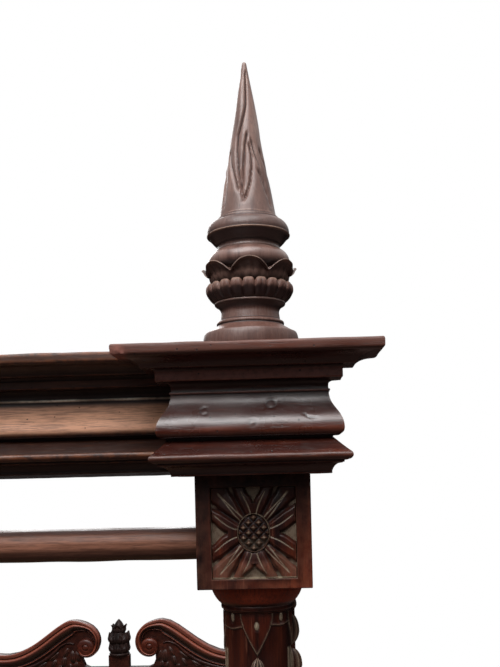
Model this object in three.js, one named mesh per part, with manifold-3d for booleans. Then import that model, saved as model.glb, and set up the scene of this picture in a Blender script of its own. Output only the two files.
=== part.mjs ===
// A carved four-poster bed with a moulded cornice, spike finials and a swan-neck headboard.
// Millimetres, +Z up. The origin is on the floor at the centre of the bed, +X is to the right
// of someone who stands at the foot, and +Y points from the foot to the head.
import * as THREE from 'three';
import { mergeVertices } from 'three/addons/utils/BufferGeometryUtils.js';
import Module from 'manifold-3d';

const wasm = await Module();
wasm.setup();

// Driving dimensions of the whole bed
const MATTRESS_WIDTH = 1200;
const MATTRESS_LENGTH = 2000;
const MATTRESS_ROOM = 8; // spare width between the side rails
const POST_WIDTH = 150; // the square blocks of a post
const POST_HEIGHT = 1900; // from the floor to the underside of the cornice
const FIT = 0.3; // clearance of every fitted joint

// Post
const ROUND_SIDES = 12;
const LOW_BLOCK_FROM = 250;
const LOW_BLOCK_TO = 560;
const TOP_BLOCK_HEIGHT = 148;
const SHAFT_RADIUS = 45;
const CAP_RADIUS = 63; // the spread of the shaft's cap under the top block
const CAP_RISE = 38;
const SPIGOT_RADIUS = 20;
const SPIGOT_LENGTH = 85;
const PANEL_WIDTH = 111;
const PANEL_HEIGHT = 115;
const PANEL_RISE = 13; // the wood left under the sunk panel of the top block
const PANEL_DEPTH = 6;
const LOW_PANEL_HEIGHT = 216;
const ROSETTE = { petals: 12, tip: 52, cornerTip: 66, notch: 30, boss: 20, thick: 3 };

// Cornice
const CORNICE_HEIGHT = 161;
const CORNICE_FOOT = 27; // how far a corner's lowest edge stands out from its post's block
const CORNICE_SETBACK = 55; // how far a rail stands behind its corner blocks
const CORNICE_LIFT = 7; // how much higher the foot of a rail is than that of a corner
const CORNICE_TONGUE = { length: 20, thick: 26, height: 44, from: 62, inset: 2 };
const CURVE_STEPS = 3;

// Finial
const FINIAL_DOWEL_RADIUS = 20;
const FINIAL_DOWEL_LENGTH = 58;
const PETALS = 8;
const PETAL_SIDES = 16;
const SPIKE_RADIUS = 39;
const SPIKE_HEIGHT = 220;

// Curtain rods
const ROD_RADIUS = 23;
const ROD_SIDES = 12;
const ROD_DROP = 92; // from the underside of the cornice to the rod's middle
const ROD_SOCKET = 25;

// Bed frame
const RAIL_THICK = 45;
const RAIL_FROM = 340;
const RAIL_TO = 520;
const RAIL_BEAD = 14;
const RAIL_BEAD_RISE = 5;
const TENON_THICK = 26;
const TENON_HEIGHT = 120;
const SIDE_TENON = 25;
const END_TENON = 45;
const LEDGER = 35;
const LEDGER_FROM = 375;
const SLATS = 9;
const SLAT_WIDTH = 95;
const SLAT_THICK = 18;
const SLAT_END_ROOM = 60; // from the end rail to the first slat

// Bed bolts, their nuts and their swinging covers
const BOLT_RADIUS = 5;
const BOLT_LENGTH = 222; // under the head
const BOLT_HEAD_RADIUS = 11;
const BOLT_HEAD_THICK = 8;
const BOLT_SIDES = 8;
const SINK_RADIUS = 16;
const SINK_DEPTH = 14;
const NUT_WIDTH = 18;
const NUT_THICK = 8;
const NUT_DEPTH = 60; // from the rail's end to the nut
const COVER_RADIUS = 22;
const COVER_THICK = 2.5;
const COVER_EAR = 8; // radius of the ear round the cover's screw
const COVER_DROP = 26; // from the screw to the bolt's axis
const SCREW_RADIUS = 2.5;
const SCREW_LENGTH = 18;
const SCREW_HEAD_RADIUS = 5;
const SCREW_HEAD_THICK = 2.5;

// Headboard
const BOARD_THICK = 34;
const BOARD_EDGE = 35; // from a head post's axis to the board's edge in its groove
const STILE_WIDTH = 96;
const BOTTOM_RAIL_HEIGHT = 140;
const TOP_RAIL_HEIGHT = 84;
const PANEL_TOP = 1066;
const PANEL_BOARD_THICK = 14;
const PANEL_TONGUE = 12;
const FIELD_THICK = 8; // the raised field stands this far out of the panel board
const FIELD_MARGIN = 46;
const CREST_THICK = 30; // how far the scroll mouldings stand out of the crest board
const CREST_BAND = 58;
const CREST_BOARD_INSET = 5; // the board's edge hides this far inside the moulding
const VOLUTE_X = 125;
const VOLUTE_Z = 1244;
const VOLUTE_TOP = 94; // radius of the volute straight above its eye
const VOLUTE_END = 40; // and straight below it
const VOLUTE_FALL = 2.6; // how fast the radius falls from the one to the other
const CREST_TOP_X = 48; // the crest's highest place, from the eye
const CREST_TOP_Z = 106;
const CREST_LOW_X = 443;
const CREST_LOW_Z = 1219;
const CREST_END_Z = 1252;
const VALLEY_Z = 1158;
const PLINTH_WIDTH = 82;
const PLINTH_HEIGHT = 48;
const BUD_DOWEL_RADIUS = 8;
const BUD_DOWEL_LENGTH = 24;

// Places that follow from the sizes above
const HALF = POST_WIDTH / 2;
const RAIL_INNER = (MATTRESS_WIDTH + MATTRESS_ROOM) / 2;
const POST_X = RAIL_INNER + 16;
const POST_Y = MATTRESS_LENGTH / 2 + HALF;
const TOP_BLOCK_FROM = POST_HEIGHT - TOP_BLOCK_HEIGHT;
const ROD_Z = POST_HEIGHT - ROD_DROP;
const RAIL_Z = (RAIL_FROM + RAIL_TO) / 2;
const SIDE_RAIL_U = RAIL_INNER + RAIL_THICK / 2 - POST_X; // a side rail's middle, from the post's axis
const LEDGER_TO = LEDGER_FROM + LEDGER;
const BOARD_FROM = RAIL_TO; // the headboard stands on the head rail
const BOARD_HALF = POST_X - BOARD_EDGE;
const TOP_RAIL_TO = PANEL_TOP + TOP_RAIL_HEIGHT;
const CORNICE_TOP = POST_HEIGHT + CORNICE_HEIGHT;

const wood = new THREE.MeshStandardMaterial({ name: 'wood', color: 0x4a2114, roughness: 0.38 });
const softwood = new THREE.MeshStandardMaterial({ name: 'softwood', color: 0x8a5f3c, roughness: 0.7 });
const brass = new THREE.MeshStandardMaterial({ name: 'brass', color: 0x9a7434, roughness: 0.4, metalness: 1 });
const iron = new THREE.MeshStandardMaterial({ name: 'iron', color: 0x35302c, roughness: 0.6, metalness: 1 });

// A closed three.js geometry as a solid, turned the right way out.
function solid(geometry) {
  const bare = geometry.index ? geometry.toNonIndexed() : geometry.clone();
  bare.deleteAttribute('normal');
  bare.deleteAttribute('uv');
  const merged = mergeVertices(bare, 1e-4);
  const index = new Uint32Array(merged.index.array);
  const p = merged.attributes.position;
  let volume = 0;
  const [a, b, c] = [new THREE.Vector3(), new THREE.Vector3(), new THREE.Vector3()];
  for (let i = 0; i < index.length; i += 3) {
    a.fromBufferAttribute(p, index[i]);
    b.fromBufferAttribute(p, index[i + 1]);
    c.fromBufferAttribute(p, index[i + 2]);
    volume += a.dot(b.cross(c));
  }
  if (volume < 0) index.reverse();
  return new wasm.Manifold(new wasm.Mesh({ numProp: 3, vertProperties: p.array, triVerts: index }));
}

// A named mesh made from a solid.
function piece(name, shape, material = wood) {
  const mesh = shape.getMesh();
  const indexed = new THREE.BufferGeometry();
  indexed.setAttribute('position', new THREE.BufferAttribute(new Float32Array(mesh.vertProperties), 3));
  indexed.setIndex(new THREE.BufferAttribute(new Uint32Array(mesh.triVerts), 1));
  const geometry = indexed.toNonIndexed();
  geometry.computeVertexNormals();
  const made = new THREE.Mesh(geometry, material);
  made.name = name;
  return made;
}

// A box between two corners.
function box(x0, x1, y0, y1, z0, z1) {
  const g = new THREE.BoxGeometry(x1 - x0, y1 - y0, z1 - z0);
  return solid(g.translate((x0 + x1) / 2, (y0 + y1) / 2, (z0 + z1) / 2));
}

// A turned solid about Z, from an outline that starts and ends on the axis.
function turned(points, sides = ROUND_SIDES) {
  return solid(new THREE.LatheGeometry(points, sides).rotateX(Math.PI / 2));
}

// A plain cylinder of a given radius along one axis, from one place on that axis to another.
function rod(radius, axis, from, to, sides = BOLT_SIDES) {
  const g = new THREE.CylinderGeometry(radius, radius, to - from, sides).translate(0, (from + to) / 2, 0);
  if (axis === 'x') g.rotateZ(-Math.PI / 2);
  if (axis === 'z') g.rotateX(Math.PI / 2);
  return solid(g);
}

// A flat outline in X and Z, given thickness along Y.
function board(outline, y0, y1) {
  const g = new THREE.ExtrudeGeometry(outline, { depth: y1 - y0, bevelEnabled: false, curveSegments: CURVE_STEPS });
  return solid(g.rotateX(Math.PI / 2).translate(0, y1, 0));
}

// An outline for turning, drawn upwards as a chain of mouldings, each of which says how far it rises.
class Turning {
  constructor(radius, z = 0) {
    this.outline = [new THREE.Vector2(0, z), new THREE.Vector2(radius, z)];
  }
  get last() {
    return this.outline.at(-1);
  }
  // A straight line to a radius, that much higher.
  to(radius, rise) {
    return this.reach(radius, this.last.y + rise);
  }
  // A straight line to a radius at a height of its own.
  reach(radius, z) {
    this.outline.push(new THREE.Vector2(radius, z));
    return this;
  }
  // A bead for a positive swell or a hollow for a negative one.
  bead(rise, swell) {
    return this.to(this.last.x + swell, rise / 2).to(this.last.x - swell, rise / 2);
  }
  // A curve to a new radius, pulled towards another radius at a share of its rise.
  curve(radius, rise, pull, share) {
    const { x, y } = this.last;
    const ends = [new THREE.Vector2(x, y), new THREE.Vector2(pull, y + rise * share), new THREE.Vector2(radius, y + rise)];
    this.outline.push(...new THREE.QuadraticBezierCurve(...ends).getPoints(CURVE_STEPS).slice(1));
    return this;
  }
  points() {
    return [...this.outline, new THREE.Vector2(0, this.last.y)];
  }
}

// The turned foot of a post, from the floor to its low block.
function foot() {
  const t = new Turning(42).to(49, 12).bead(20, 3).to(38, 8).curve(64, 88, 40, 0.55).curve(46, 76, 72, 0.6);
  t.to(58, 10).bead(22, 5).reach(58, LOW_BLOCK_FROM);
  return turned(t.points());
}

// The turned shaft between the two blocks of a post: rings, two vases, a long column and its cap.
function shaft() {
  const t = new Turning(64, LOW_BLOCK_TO).bead(30, 5).to(48, 12).curve(66, 90, 70, 0.25).curve(44, 158, 62, 0.45);
  t.to(54, 12).bead(18, 4).to(44, 12).curve(54, 118, 56, 0.28).curve(44, 144, 52, 0.5);
  t.to(54, 12).bead(20, 4).to(41, 14).curve(SHAFT_RADIUS, 130, 42, 0.5);
  t.reach(SHAFT_RADIUS, TOP_BLOCK_FROM - CAP_RISE).to(SHAFT_RADIUS + 2, 2).bead(9, 1);
  t.curve(CAP_RADIUS - 3, 21, SHAFT_RADIUS + 6, 0.7).reach(CAP_RADIUS, TOP_BLOCK_FROM);
  return turned(t.points());
}

// The flower in a top block's sunk panel, in the frame of the panel's ground: a boss in a star of petals.
function rosette() {
  const star = new THREE.Shape();
  for (let i = 0; i < 2 * ROSETTE.petals; i++) {
    const corner = i % 6 === 3;
    const radius = i % 2 === 0 ? ROSETTE.notch : corner ? ROSETTE.cornerTip : ROSETTE.tip;
    const angle = (Math.PI * i) / ROSETTE.petals;
    const [x, y] = [radius * Math.cos(angle), radius * Math.sin(angle)];
    if (i === 0) star.moveTo(x, y);
    else star.lineTo(x, y);
  }
  const petals = new THREE.ExtrudeGeometry(star, { depth: ROSETTE.thick + 1, bevelEnabled: false });
  const boss = new Turning(ROSETTE.boss, 0).to(ROSETTE.boss - 1, ROSETTE.thick).to(ROSETTE.boss / 2, 2);
  return solid(petals.translate(0, 0, -1)).add(turned(boss.points()));
}

// One post in the frame of its own axis. +X and +Y point away from the bed, and the bed's joints
// are on the other two sides.
function post(atHead) {
  let made = foot()
    .add(box(-HALF, HALF, -HALF, HALF, LOW_BLOCK_FROM, LOW_BLOCK_TO))
    .add(shaft())
    .add(box(-HALF, HALF, -HALF, HALF, TOP_BLOCK_FROM, POST_HEIGHT))
    .add(rod(SPIGOT_RADIUS, 'z', POST_HEIGHT - 1, POST_HEIGHT + SPIGOT_LENGTH, ROUND_SIDES));
  const panelFrom = TOP_BLOCK_FROM + PANEL_RISE;
  const [w, d] = [PANEL_WIDTH / 2, HALF - PANEL_DEPTH];
  const lowPanelFrom = (LOW_BLOCK_FROM + LOW_BLOCK_TO - LOW_PANEL_HEIGHT) / 2;
  const [sideHalf, endHalf] = [TENON_THICK / 2 + FIT, TENON_HEIGHT / 2 + FIT];
  const cuts = [
    box(d, HALF + 1, -w, w, panelFrom, panelFrom + PANEL_HEIGHT),
    box(-w, w, d, HALF + 1, panelFrom, panelFrom + PANEL_HEIGHT),
    box(d, HALF + 1, -w, w, lowPanelFrom, lowPanelFrom + LOW_PANEL_HEIGHT),
    // Mortise, bolt hole and counterbore of the side rail
    box(SIDE_RAIL_U - sideHalf, SIDE_RAIL_U + sideHalf, -HALF - 1, FIT + SIDE_TENON - HALF, RAIL_Z - endHalf, RAIL_Z + endHalf),
    rod(BOLT_RADIUS + FIT, 'y', -HALF - 1, HALF + 1).translate([SIDE_RAIL_U, 0, RAIL_Z]),
    rod(SINK_RADIUS, 'y', HALF - SINK_DEPTH, HALF + 1, ROUND_SIDES).translate([SIDE_RAIL_U, 0, RAIL_Z]),
    rod(SCREW_RADIUS + FIT, 'y', HALF - SCREW_LENGTH, HALF + 1).translate([SIDE_RAIL_U, 0, RAIL_Z + COVER_DROP]),
    // Mortise of the end rail
    box(-HALF - 1, FIT + END_TENON - HALF, -sideHalf, sideHalf, RAIL_Z - endHalf, RAIL_Z + endHalf),
    // Socket of the side curtain rod
    rod(ROD_RADIUS + FIT, 'y', -HALF - 1, ROD_SOCKET - HALF + FIT, ROD_SIDES).translate([0, 0, ROD_Z]),
  ];
  if (atHead) {
    const half = BOARD_THICK / 2 + FIT;
    cuts.push(box(-HALF - 1, FIT - BOARD_EDGE, -half, half, BOARD_FROM, CREST_END_Z + FIT));
  } else {
    cuts.push(rod(ROD_RADIUS + FIT, 'x', -HALF - 1, ROD_SOCKET - HALF + FIT, ROD_SIDES).translate([0, 0, ROD_Z]));
  }
  for (const cut of cuts) made = made.subtract(cut);
  const flower = rosette().rotate([0, 90, 0]).translate([d, 0, panelFrom + PANEL_HEIGHT / 2]);
  return made.add(flower).add(flower.mirror([1, -1, 0]));
}

// The cornice's moulded edge, from its foot to its top. x is the distance from the face of the
// post's block and y the height. back is how far the whole edge stands behind a corner block,
// and lift how much higher its lower members are: a cove, a bead, a weathering and the ogee's foot.
function corniceEdge(back, lift, start) {
  const p = new THREE.Path().moveTo(...start);
  const top = CORNICE_HEIGHT;
  const low = (x, y) => p.lineTo(x - back, y + lift);
  const high = (x, drop) => p.lineTo(x - back, top - drop);
  low(CORNICE_FOOT, 0);
  low(CORNICE_FOOT, 3);
  p.quadraticCurveTo(30 - back, 12 + lift, 39 - back, 13 + lift);
  low(42, 13.5);
  low(42, 16.5);
  low(48, 17);
  p.quadraticCurveTo(54 - back, 20 + lift, 51.5 - back, 25.5 + lift);
  low(29, 45.5);
  low(29, 48);
  low(37, 48.5);
  p.quadraticCurveTo(43 - back, 50 + lift, 43 - back, 57 + lift);
  p.bezierCurveTo(42 - back, 78, 25 - back, 84, 25 - back, top - 54);
  p.quadraticCurveTo(25 - back, top - 44, 31 - back, top - 42);
  high(42, 41.5);
  high(42, 29.5);
  high(45, 26.5);
  high(58, 26.5);
  high(59, 24);
  p.quadraticCurveTo(66 - back, top - 15, 82 - back, top - 14.5);
  p.quadraticCurveTo(91 - back, top - 13, 89 - back, top - 5);
  high(86, 0);
  return p;
}

// The section of a cornice rail: its moulded edge in front and a flat back on the posts' axes.
// more pushes the edge out, for the housings that the rails enter.
function railSection(more = 0) {
  const edge = corniceEdge(CORNICE_SETBACK - more, CORNICE_LIFT, [-HALF, CORNICE_LIFT]).getPoints(2);
  return [...edge, new THREE.Vector2(-HALF, CORNICE_HEIGHT)];
}

// A rail of the cornice along X, whose moulded edge faces -Y, with a tongue at each end.
// The post blocks' faces that it runs between are at -half and +half.
function corniceRail(half, more = 0) {
  const shape = new THREE.Shape(railSection(more));
  const g = new THREE.ExtrudeGeometry(shape, { depth: 2 * half, bevelEnabled: false });
  // The section's x points out of the bed, its y up, and the extrusion runs along X.
  g.applyMatrix4(new THREE.Matrix4().set(0, 0, 1, -half, -1, 0, 0, -HALF, 0, 1, 0, POST_HEIGHT, 0, 0, 0, 1));
  return solid(g);
}

// The tongue on a rail's end, or with a clearance the mortise that takes it.
function corniceTongue(half, fit = 0) {
  const t = CORNICE_TONGUE;
  const [y, z] = [-t.inset - t.thick / 2, POST_HEIGHT + t.from];
  const end = half + t.length + fit;
  return box(-end, end, y - t.thick / 2 - fit, y + t.thick / 2 + fit, z - fit, z + t.height + fit);
}

// A corner block of the cornice, in the frame of its post's axis. In front of the post it is a
// moulded block with a return at each end. Over the post it has the edge of the side's rail, and
// it is housed for the rail of the bed's end and mortised for that of the side.
function corniceCorner() {
  const points = corniceEdge(0, 0, [-HALF, 0]).getPoints(2);
  points.push(new THREE.Vector2(-HALF, CORNICE_HEIGHT));
  const outline = points.map((q) => new THREE.Vector2((q.x + HALF) * Math.SQRT2, q.y));
  const block = solid(new THREE.LatheGeometry(outline, 4, Math.PI / 4).rotateX(Math.PI / 2)).translate([0, 0, POST_HEIGHT]);
  const [far, foot] = [400, HALF + CORNICE_FOOT - CORNICE_SETBACK];
  const [z0, z1] = [POST_HEIGHT, CORNICE_TOP];
  const overPost = corniceRail(HALF + 1).rotate([0, 0, 180]).mirror([1, -1, 0]).translate([0, 1, 0]);
  // A rail along X with the edge outwards at +Y; turned over the diagonal it is the side's rail.
  const half = far - HALF;
  const housing = corniceRail(half, FIT).add(corniceTongue(half, FIT)).rotate([0, 0, 180]).translate([-far, 0, 0]);
  return block
    .subtract(box(-HALF, far, -far, HALF, z0 - 1, z1 + 1))
    .subtract(box(-far, far, -far, FIT, z0 - 1, z1 + 1))
    .add(box(-HALF, HALF / 2, -HALF, HALF + 1, z0, z1))
    .add(box(-HALF, foot, -HALF, HALF + 1, z0, z0 + CORNICE_LIFT + 1))
    .add(overPost)
    .subtract(housing)
    .subtract(housing.mirror([1, -1, 0]))
    .subtract(rod(SPIGOT_RADIUS + FIT, 'z', z0 - 1, z1 + 1, ROUND_SIDES));
}

// A ring of petals whose lip rises and falls round the finial.
function petalRing(from, rise, waist, lip, droop, turn) {
  const outline = [
    new THREE.Vector2(0, from),
    new THREE.Vector2(waist, from),
    new THREE.Vector2((waist + lip) / 2 + 3, from + rise * 0.35),
    new THREE.Vector2(lip, from + rise),
    new THREE.Vector2(waist - 6, from + rise * 0.72),
    new THREE.Vector2(0, from + rise * 0.72),
  ];
  const g = new THREE.LatheGeometry(outline, PETAL_SIDES).rotateX(Math.PI / 2);
  const p = g.attributes.position;
  for (let i = 0; i < p.count; i++) {
    const [x, y, z] = [p.getX(i), p.getY(i), p.getZ(i)];
    const out = Math.max(0, Math.hypot(x, y) - waist) / (lip - waist);
    const wave = (1 - Math.cos(PETALS * (Math.atan2(y, x) + turn))) / 2;
    const shrink = 1 - 0.08 * out * wave;
    p.setXYZ(i, x * shrink, y * shrink, z - droop * out * wave);
  }
  return solid(g);
}

// A finial that stands on the cornice: base, neck, two rows of petals, collar and spike.
function finial() {
  const t = new Turning(FINIAL_DOWEL_RADIUS, CORNICE_TOP - FINIAL_DOWEL_LENGTH).reach(FINIAL_DOWEL_RADIUS, CORNICE_TOP);
  t.reach(62, CORNICE_TOP).bead(34, 4).curve(44, 10, 56, 0.7).to(41, 5).to(41, 14).to(52, 12);
  const petals = t.last.y;
  t.to(48, 6).to(48, 38).to(54, 7).bead(16, 2).to(41, 9).to(54, 15).bead(12, 2.5);
  t.to(46, 9).to(SPIKE_RADIUS, 6).to(1.5, SPIKE_HEIGHT);
  return turned(t.points())
    .add(petalRing(petals - 1, 26, 52, 61, 8, 0))
    .add(petalRing(petals + 23, 30, 50, 67, 11, Math.PI / PETALS));
}

// A curtain rod along X or Y between the sockets of two top blocks.
function curtainRod(axis, half) {
  return rod(ROD_RADIUS, axis, -half - ROD_SOCKET, half + ROD_SOCKET, ROD_SIDES);
}

// The section of a bed rail: a plank with a bead along both edges of its outer face, at +Y.
function bedRailSection() {
  const [t, h] = [RAIL_THICK / 2, (RAIL_TO - RAIL_FROM) / 2];
  const s = new THREE.Shape().moveTo(-t, -h).lineTo(t, -h);
  s.quadraticCurveTo(t + RAIL_BEAD_RISE * 2, RAIL_BEAD / 2 - h, t, RAIL_BEAD - h);
  s.lineTo(t, h - RAIL_BEAD);
  s.quadraticCurveTo(t + RAIL_BEAD_RISE * 2, h - RAIL_BEAD / 2, t, h);
  return s.lineTo(-t, h);
}

// A bed rail along X with a tenon on each end, centred on the origin and with its beads towards +Y.
function bedRail(half, tenon) {
  const g = new THREE.ExtrudeGeometry(bedRailSection(), { depth: 2 * half, bevelEnabled: false, curveSegments: 3 });
  g.applyMatrix4(new THREE.Matrix4().set(0, 0, 1, -half, 1, 0, 0, 0, 0, 1, 0, 0, 0, 0, 0, 1));
  const end = half + tenon;
  return solid(g).add(box(-end, end, -TENON_THICK / 2, TENON_THICK / 2, -TENON_HEIGHT / 2, TENON_HEIGHT / 2));
}

// A side rail along Y at its place on the right of the bed, bored for two bolts and slotted for their nuts.
function sideRail() {
  const half = POST_Y - HALF;
  const [nut, reach] = [NUT_WIDTH / 2 + FIT, half - NUT_DEPTH];
  let made = bedRail(half, SIDE_TENON);
  for (const end of [-1, 1]) {
    const [bore0, bore1] = [end * (half + SIDE_TENON + 1), end * (half + HALF + HALF - SINK_DEPTH - BOLT_LENGTH - 8)];
    const [slot0, slot1] = [end * (reach + FIT), end * (reach - NUT_THICK - FIT)];
    made = made.subtract(rod(BOLT_RADIUS + FIT, 'x', Math.min(bore0, bore1), Math.max(bore0, bore1)));
    made = made.subtract(box(Math.min(slot0, slot1), Math.max(slot0, slot1), -RAIL_THICK, nut, -nut, nut));
  }
  return made.rotate([0, 0, -90]).translate([POST_X + SIDE_RAIL_U, 0, RAIL_Z]);
}

// A bed bolt in the frame of its post's axis, driven in from the outer face towards the rail.
function bedBolt() {
  const seat = HALF - SINK_DEPTH;
  return rod(BOLT_RADIUS, 'y', seat - BOLT_LENGTH, seat + 1)
    .add(rod(BOLT_HEAD_RADIUS, 'y', seat, seat + BOLT_HEAD_THICK, 6))
    .translate([SIDE_RAIL_U, 0, RAIL_Z]);
}

// A bolt's square nut, caught in its slot in the rail.
function boltNut() {
  const [w, y] = [NUT_WIDTH / 2, -HALF - NUT_DEPTH];
  return box(-w, w, y - NUT_THICK, y, -w, w)
    .subtract(rod(BOLT_RADIUS + FIT, 'y', y - NUT_THICK - 1, y + 1))
    .translate([SIDE_RAIL_U, 0, RAIL_Z]);
}

// A bolt's cover: a round plate that hangs from an ear round its screw, just off the block's face.
function boltCover() {
  const [y0, y1] = [HALF + FIT, HALF + FIT + COVER_THICK];
  return rod(COVER_RADIUS, 'y', y0, y1, ROD_SIDES)
    .add(box(-COVER_EAR, COVER_EAR, y0, y1, 0, COVER_DROP))
    .add(rod(COVER_EAR, 'y', y0, y1).translate([0, 0, COVER_DROP]))
    .add(rod(5, 'y', y1 - 1, y1 + 3, BOLT_SIDES))
    .subtract(rod(SCREW_RADIUS + FIT, 'y', y0 - 1, y1 + 1).translate([0, 0, COVER_DROP]))
    .translate([SIDE_RAIL_U, 0, RAIL_Z]);
}

// The screw that a bolt's cover swings on.
function coverScrew() {
  const head = HALF + COVER_THICK + 2 * FIT;
  return rod(SCREW_RADIUS, 'y', HALF - SCREW_LENGTH + FIT, head + 1)
    .add(rod(SCREW_HEAD_RADIUS, 'y', head, head + SCREW_HEAD_THICK))
    .translate([SIDE_RAIL_U, 0, RAIL_Z + COVER_DROP]);
}

// Points along the volute of the crest, from straight above its eye to below it. grow widens it.
function volute(grow, steps = 14, sweep = 1.18 * Math.PI) {
  const points = [];
  for (let i = 0; i <= steps; i++) {
    const share = i / steps;
    const angle = Math.PI / 2 + sweep * share;
    const radius = VOLUTE_END + (VOLUTE_TOP - VOLUTE_END) * Math.pow(1 - share, VOLUTE_FALL) + grow;
    points.push(new THREE.Vector2(VOLUTE_X + radius * Math.cos(angle), VOLUTE_Z + radius * Math.sin(angle)));
  }
  return points;
}

// The top edge of the crest on the right, from the post to straight above the volute's eye. drop lowers it.
function crestEdge(drop, endX) {
  const p = new THREE.Path().moveTo(endX, CREST_END_Z - drop);
  p.quadraticCurveTo((endX + CREST_LOW_X) / 2, CREST_LOW_Z - drop, CREST_LOW_X, CREST_LOW_Z - drop);
  const [topX, topZ] = [VOLUTE_X + CREST_TOP_X, VOLUTE_Z + CREST_TOP_Z];
  p.bezierCurveTo(CREST_LOW_X - 115, CREST_LOW_Z - drop, topX + 67 - drop / 2, topZ - drop, topX + drop / 4, topZ - drop);
  if (!drop) p.quadraticCurveTo(topX - 18, topZ, VOLUTE_X, VOLUTE_Z + VOLUTE_TOP);
  return p.getPoints(7);
}

// The scroll moulding on the right half of the crest: a band with a volute at its inner end.
function crestScroll() {
  const endX = POST_X - SHAFT_RADIUS - 2;
  const outline = [...crestEdge(0, endX), ...volute(0).slice(1), ...crestEdge(CREST_BAND, endX).reverse()];
  const front = -BOARD_THICK / 2 - CREST_THICK;
  return board(new THREE.Shape(outline), front, -BOARD_THICK / 2).translate([0, POST_Y, 0]);
}

// The board behind the scrolls, with its edges inside theirs, a valley on each side and a plinth between.
function crestBoard() {
  const half = [
    new THREE.Vector2(BOARD_HALF, TOP_RAIL_TO),
    ...crestEdge(0, BOARD_HALF).map((q) => new THREE.Vector2(q.x, q.y - CREST_BOARD_INSET)),
    ...volute(-CREST_BOARD_INSET).slice(1),
    new THREE.Vector2(VOLUTE_X + 20, VALLEY_Z + 32),
    new THREE.Vector2(VOLUTE_X + 10, VALLEY_Z + 8),
    new THREE.Vector2(VOLUTE_X - 8, VALLEY_Z),
    new THREE.Vector2(PLINTH_WIDTH / 2, VALLEY_Z),
    new THREE.Vector2(PLINTH_WIDTH / 2, VALLEY_Z + PLINTH_HEIGHT),
  ];
  const other = half.map((q) => new THREE.Vector2(-q.x, q.y)).reverse();
  const [y0, y1] = [POST_Y - BOARD_THICK / 2, POST_Y + BOARD_THICK / 2];
  const top = VALLEY_Z + PLINTH_HEIGHT;
  return board(new THREE.Shape([...half, ...other]), y0, y1)
    .subtract(rod(BUD_DOWEL_RADIUS + FIT, 'z', top - BUD_DOWEL_LENGTH - FIT, top + 1, ROUND_SIDES).translate([0, POST_Y, 0]))
    .subtract(rod(BUD_DOWEL_RADIUS + FIT, 'z', TOP_RAIL_TO - 1, TOP_RAIL_TO + BUD_DOWEL_LENGTH).translate([0, POST_Y, 0]));
}

// The leafy bud between the scrolls, on a dowel in the plinth.
function crestFinial() {
  const z = VALLEY_Z + PLINTH_HEIGHT;
  const t = new Turning(BUD_DOWEL_RADIUS, z - BUD_DOWEL_LENGTH).reach(BUD_DOWEL_RADIUS, z);
  t.reach(40, z).bead(12, 3).to(34, 4).curve(34, 60, 58, 0.45).curve(20, 46, 44, 0.25).to(3, 22);
  return turned(t.points()).translate([0, POST_Y, 0]);
}

// The frame of the headboard: stiles in the posts' grooves, two rails tenoned into them and a fielded panel.
function headboard() {
  const [y0, y1] = [POST_Y - BOARD_THICK / 2, POST_Y + BOARD_THICK / 2];
  const inner = BOARD_HALF - STILE_WIDTH;
  const railTop = BOARD_FROM + BOTTOM_RAIL_HEIGHT;
  const groove = PANEL_BOARD_THICK / 2 + FIT;
  const tongue = PANEL_TONGUE - FIT;
  const sides = inner + PANEL_TONGUE;
  const panelSpace = box(-sides, sides, POST_Y - groove, POST_Y + groove, railTop - PANEL_TONGUE, PANEL_TOP + PANEL_TONGUE);
  const tenon = { length: 40, thick: 5 };
  const tenons = (fit) => {
    const end = inner + tenon.length + fit;
    const [t0, t1] = [POST_Y - tenon.thick - fit, POST_Y + tenon.thick + fit];
    return box(-end, end, t0, t1, BOARD_FROM + 20 - fit, railTop - 20 + fit).add(
      box(-end, end, t0, t1, PANEL_TOP + 18 - fit, TOP_RAIL_TO - 18 + fit),
    );
  };
  const stile = box(inner, BOARD_HALF, y0, y1, BOARD_FROM, TOP_RAIL_TO).subtract(panelSpace).subtract(tenons(FIT));
  const lower = tenons(0).subtract(box(-inner, inner, y0 - 1, y1 + 1, 0, POST_HEIGHT));
  const [below, above] = [box(-BOARD_HALF, BOARD_HALF, y0, y1, 0, railTop), box(-BOARD_HALF, BOARD_HALF, y0, y1, PANEL_TOP, TOP_RAIL_TO)];
  const bottomRail = box(-inner, inner, y0, y1, BOARD_FROM, railTop).subtract(panelSpace).add(lower.intersect(below));
  const dowel = rod(BUD_DOWEL_RADIUS, 'z', TOP_RAIL_TO - 1, TOP_RAIL_TO + BUD_DOWEL_LENGTH - FIT).translate([0, POST_Y, 0]);
  const topRail = box(-inner, inner, y0, y1, PANEL_TOP, TOP_RAIL_TO).subtract(panelSpace).add(lower.intersect(above)).add(dowel);
  const reach = inner + tongue;
  const field = inner - FIELD_MARGIN;
  const front = POST_Y - PANEL_BOARD_THICK / 2 - FIELD_THICK;
  const panel = box(-reach, reach, POST_Y - PANEL_BOARD_THICK / 2, POST_Y + PANEL_BOARD_THICK / 2, railTop - tongue, PANEL_TOP + tongue)
    .add(box(-field, field, front, POST_Y, railTop + FIELD_MARGIN, PANEL_TOP - FIELD_MARGIN));
  return { stile, bottomRail, topRail, panel };
}

const bed = new THREE.Group();

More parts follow.
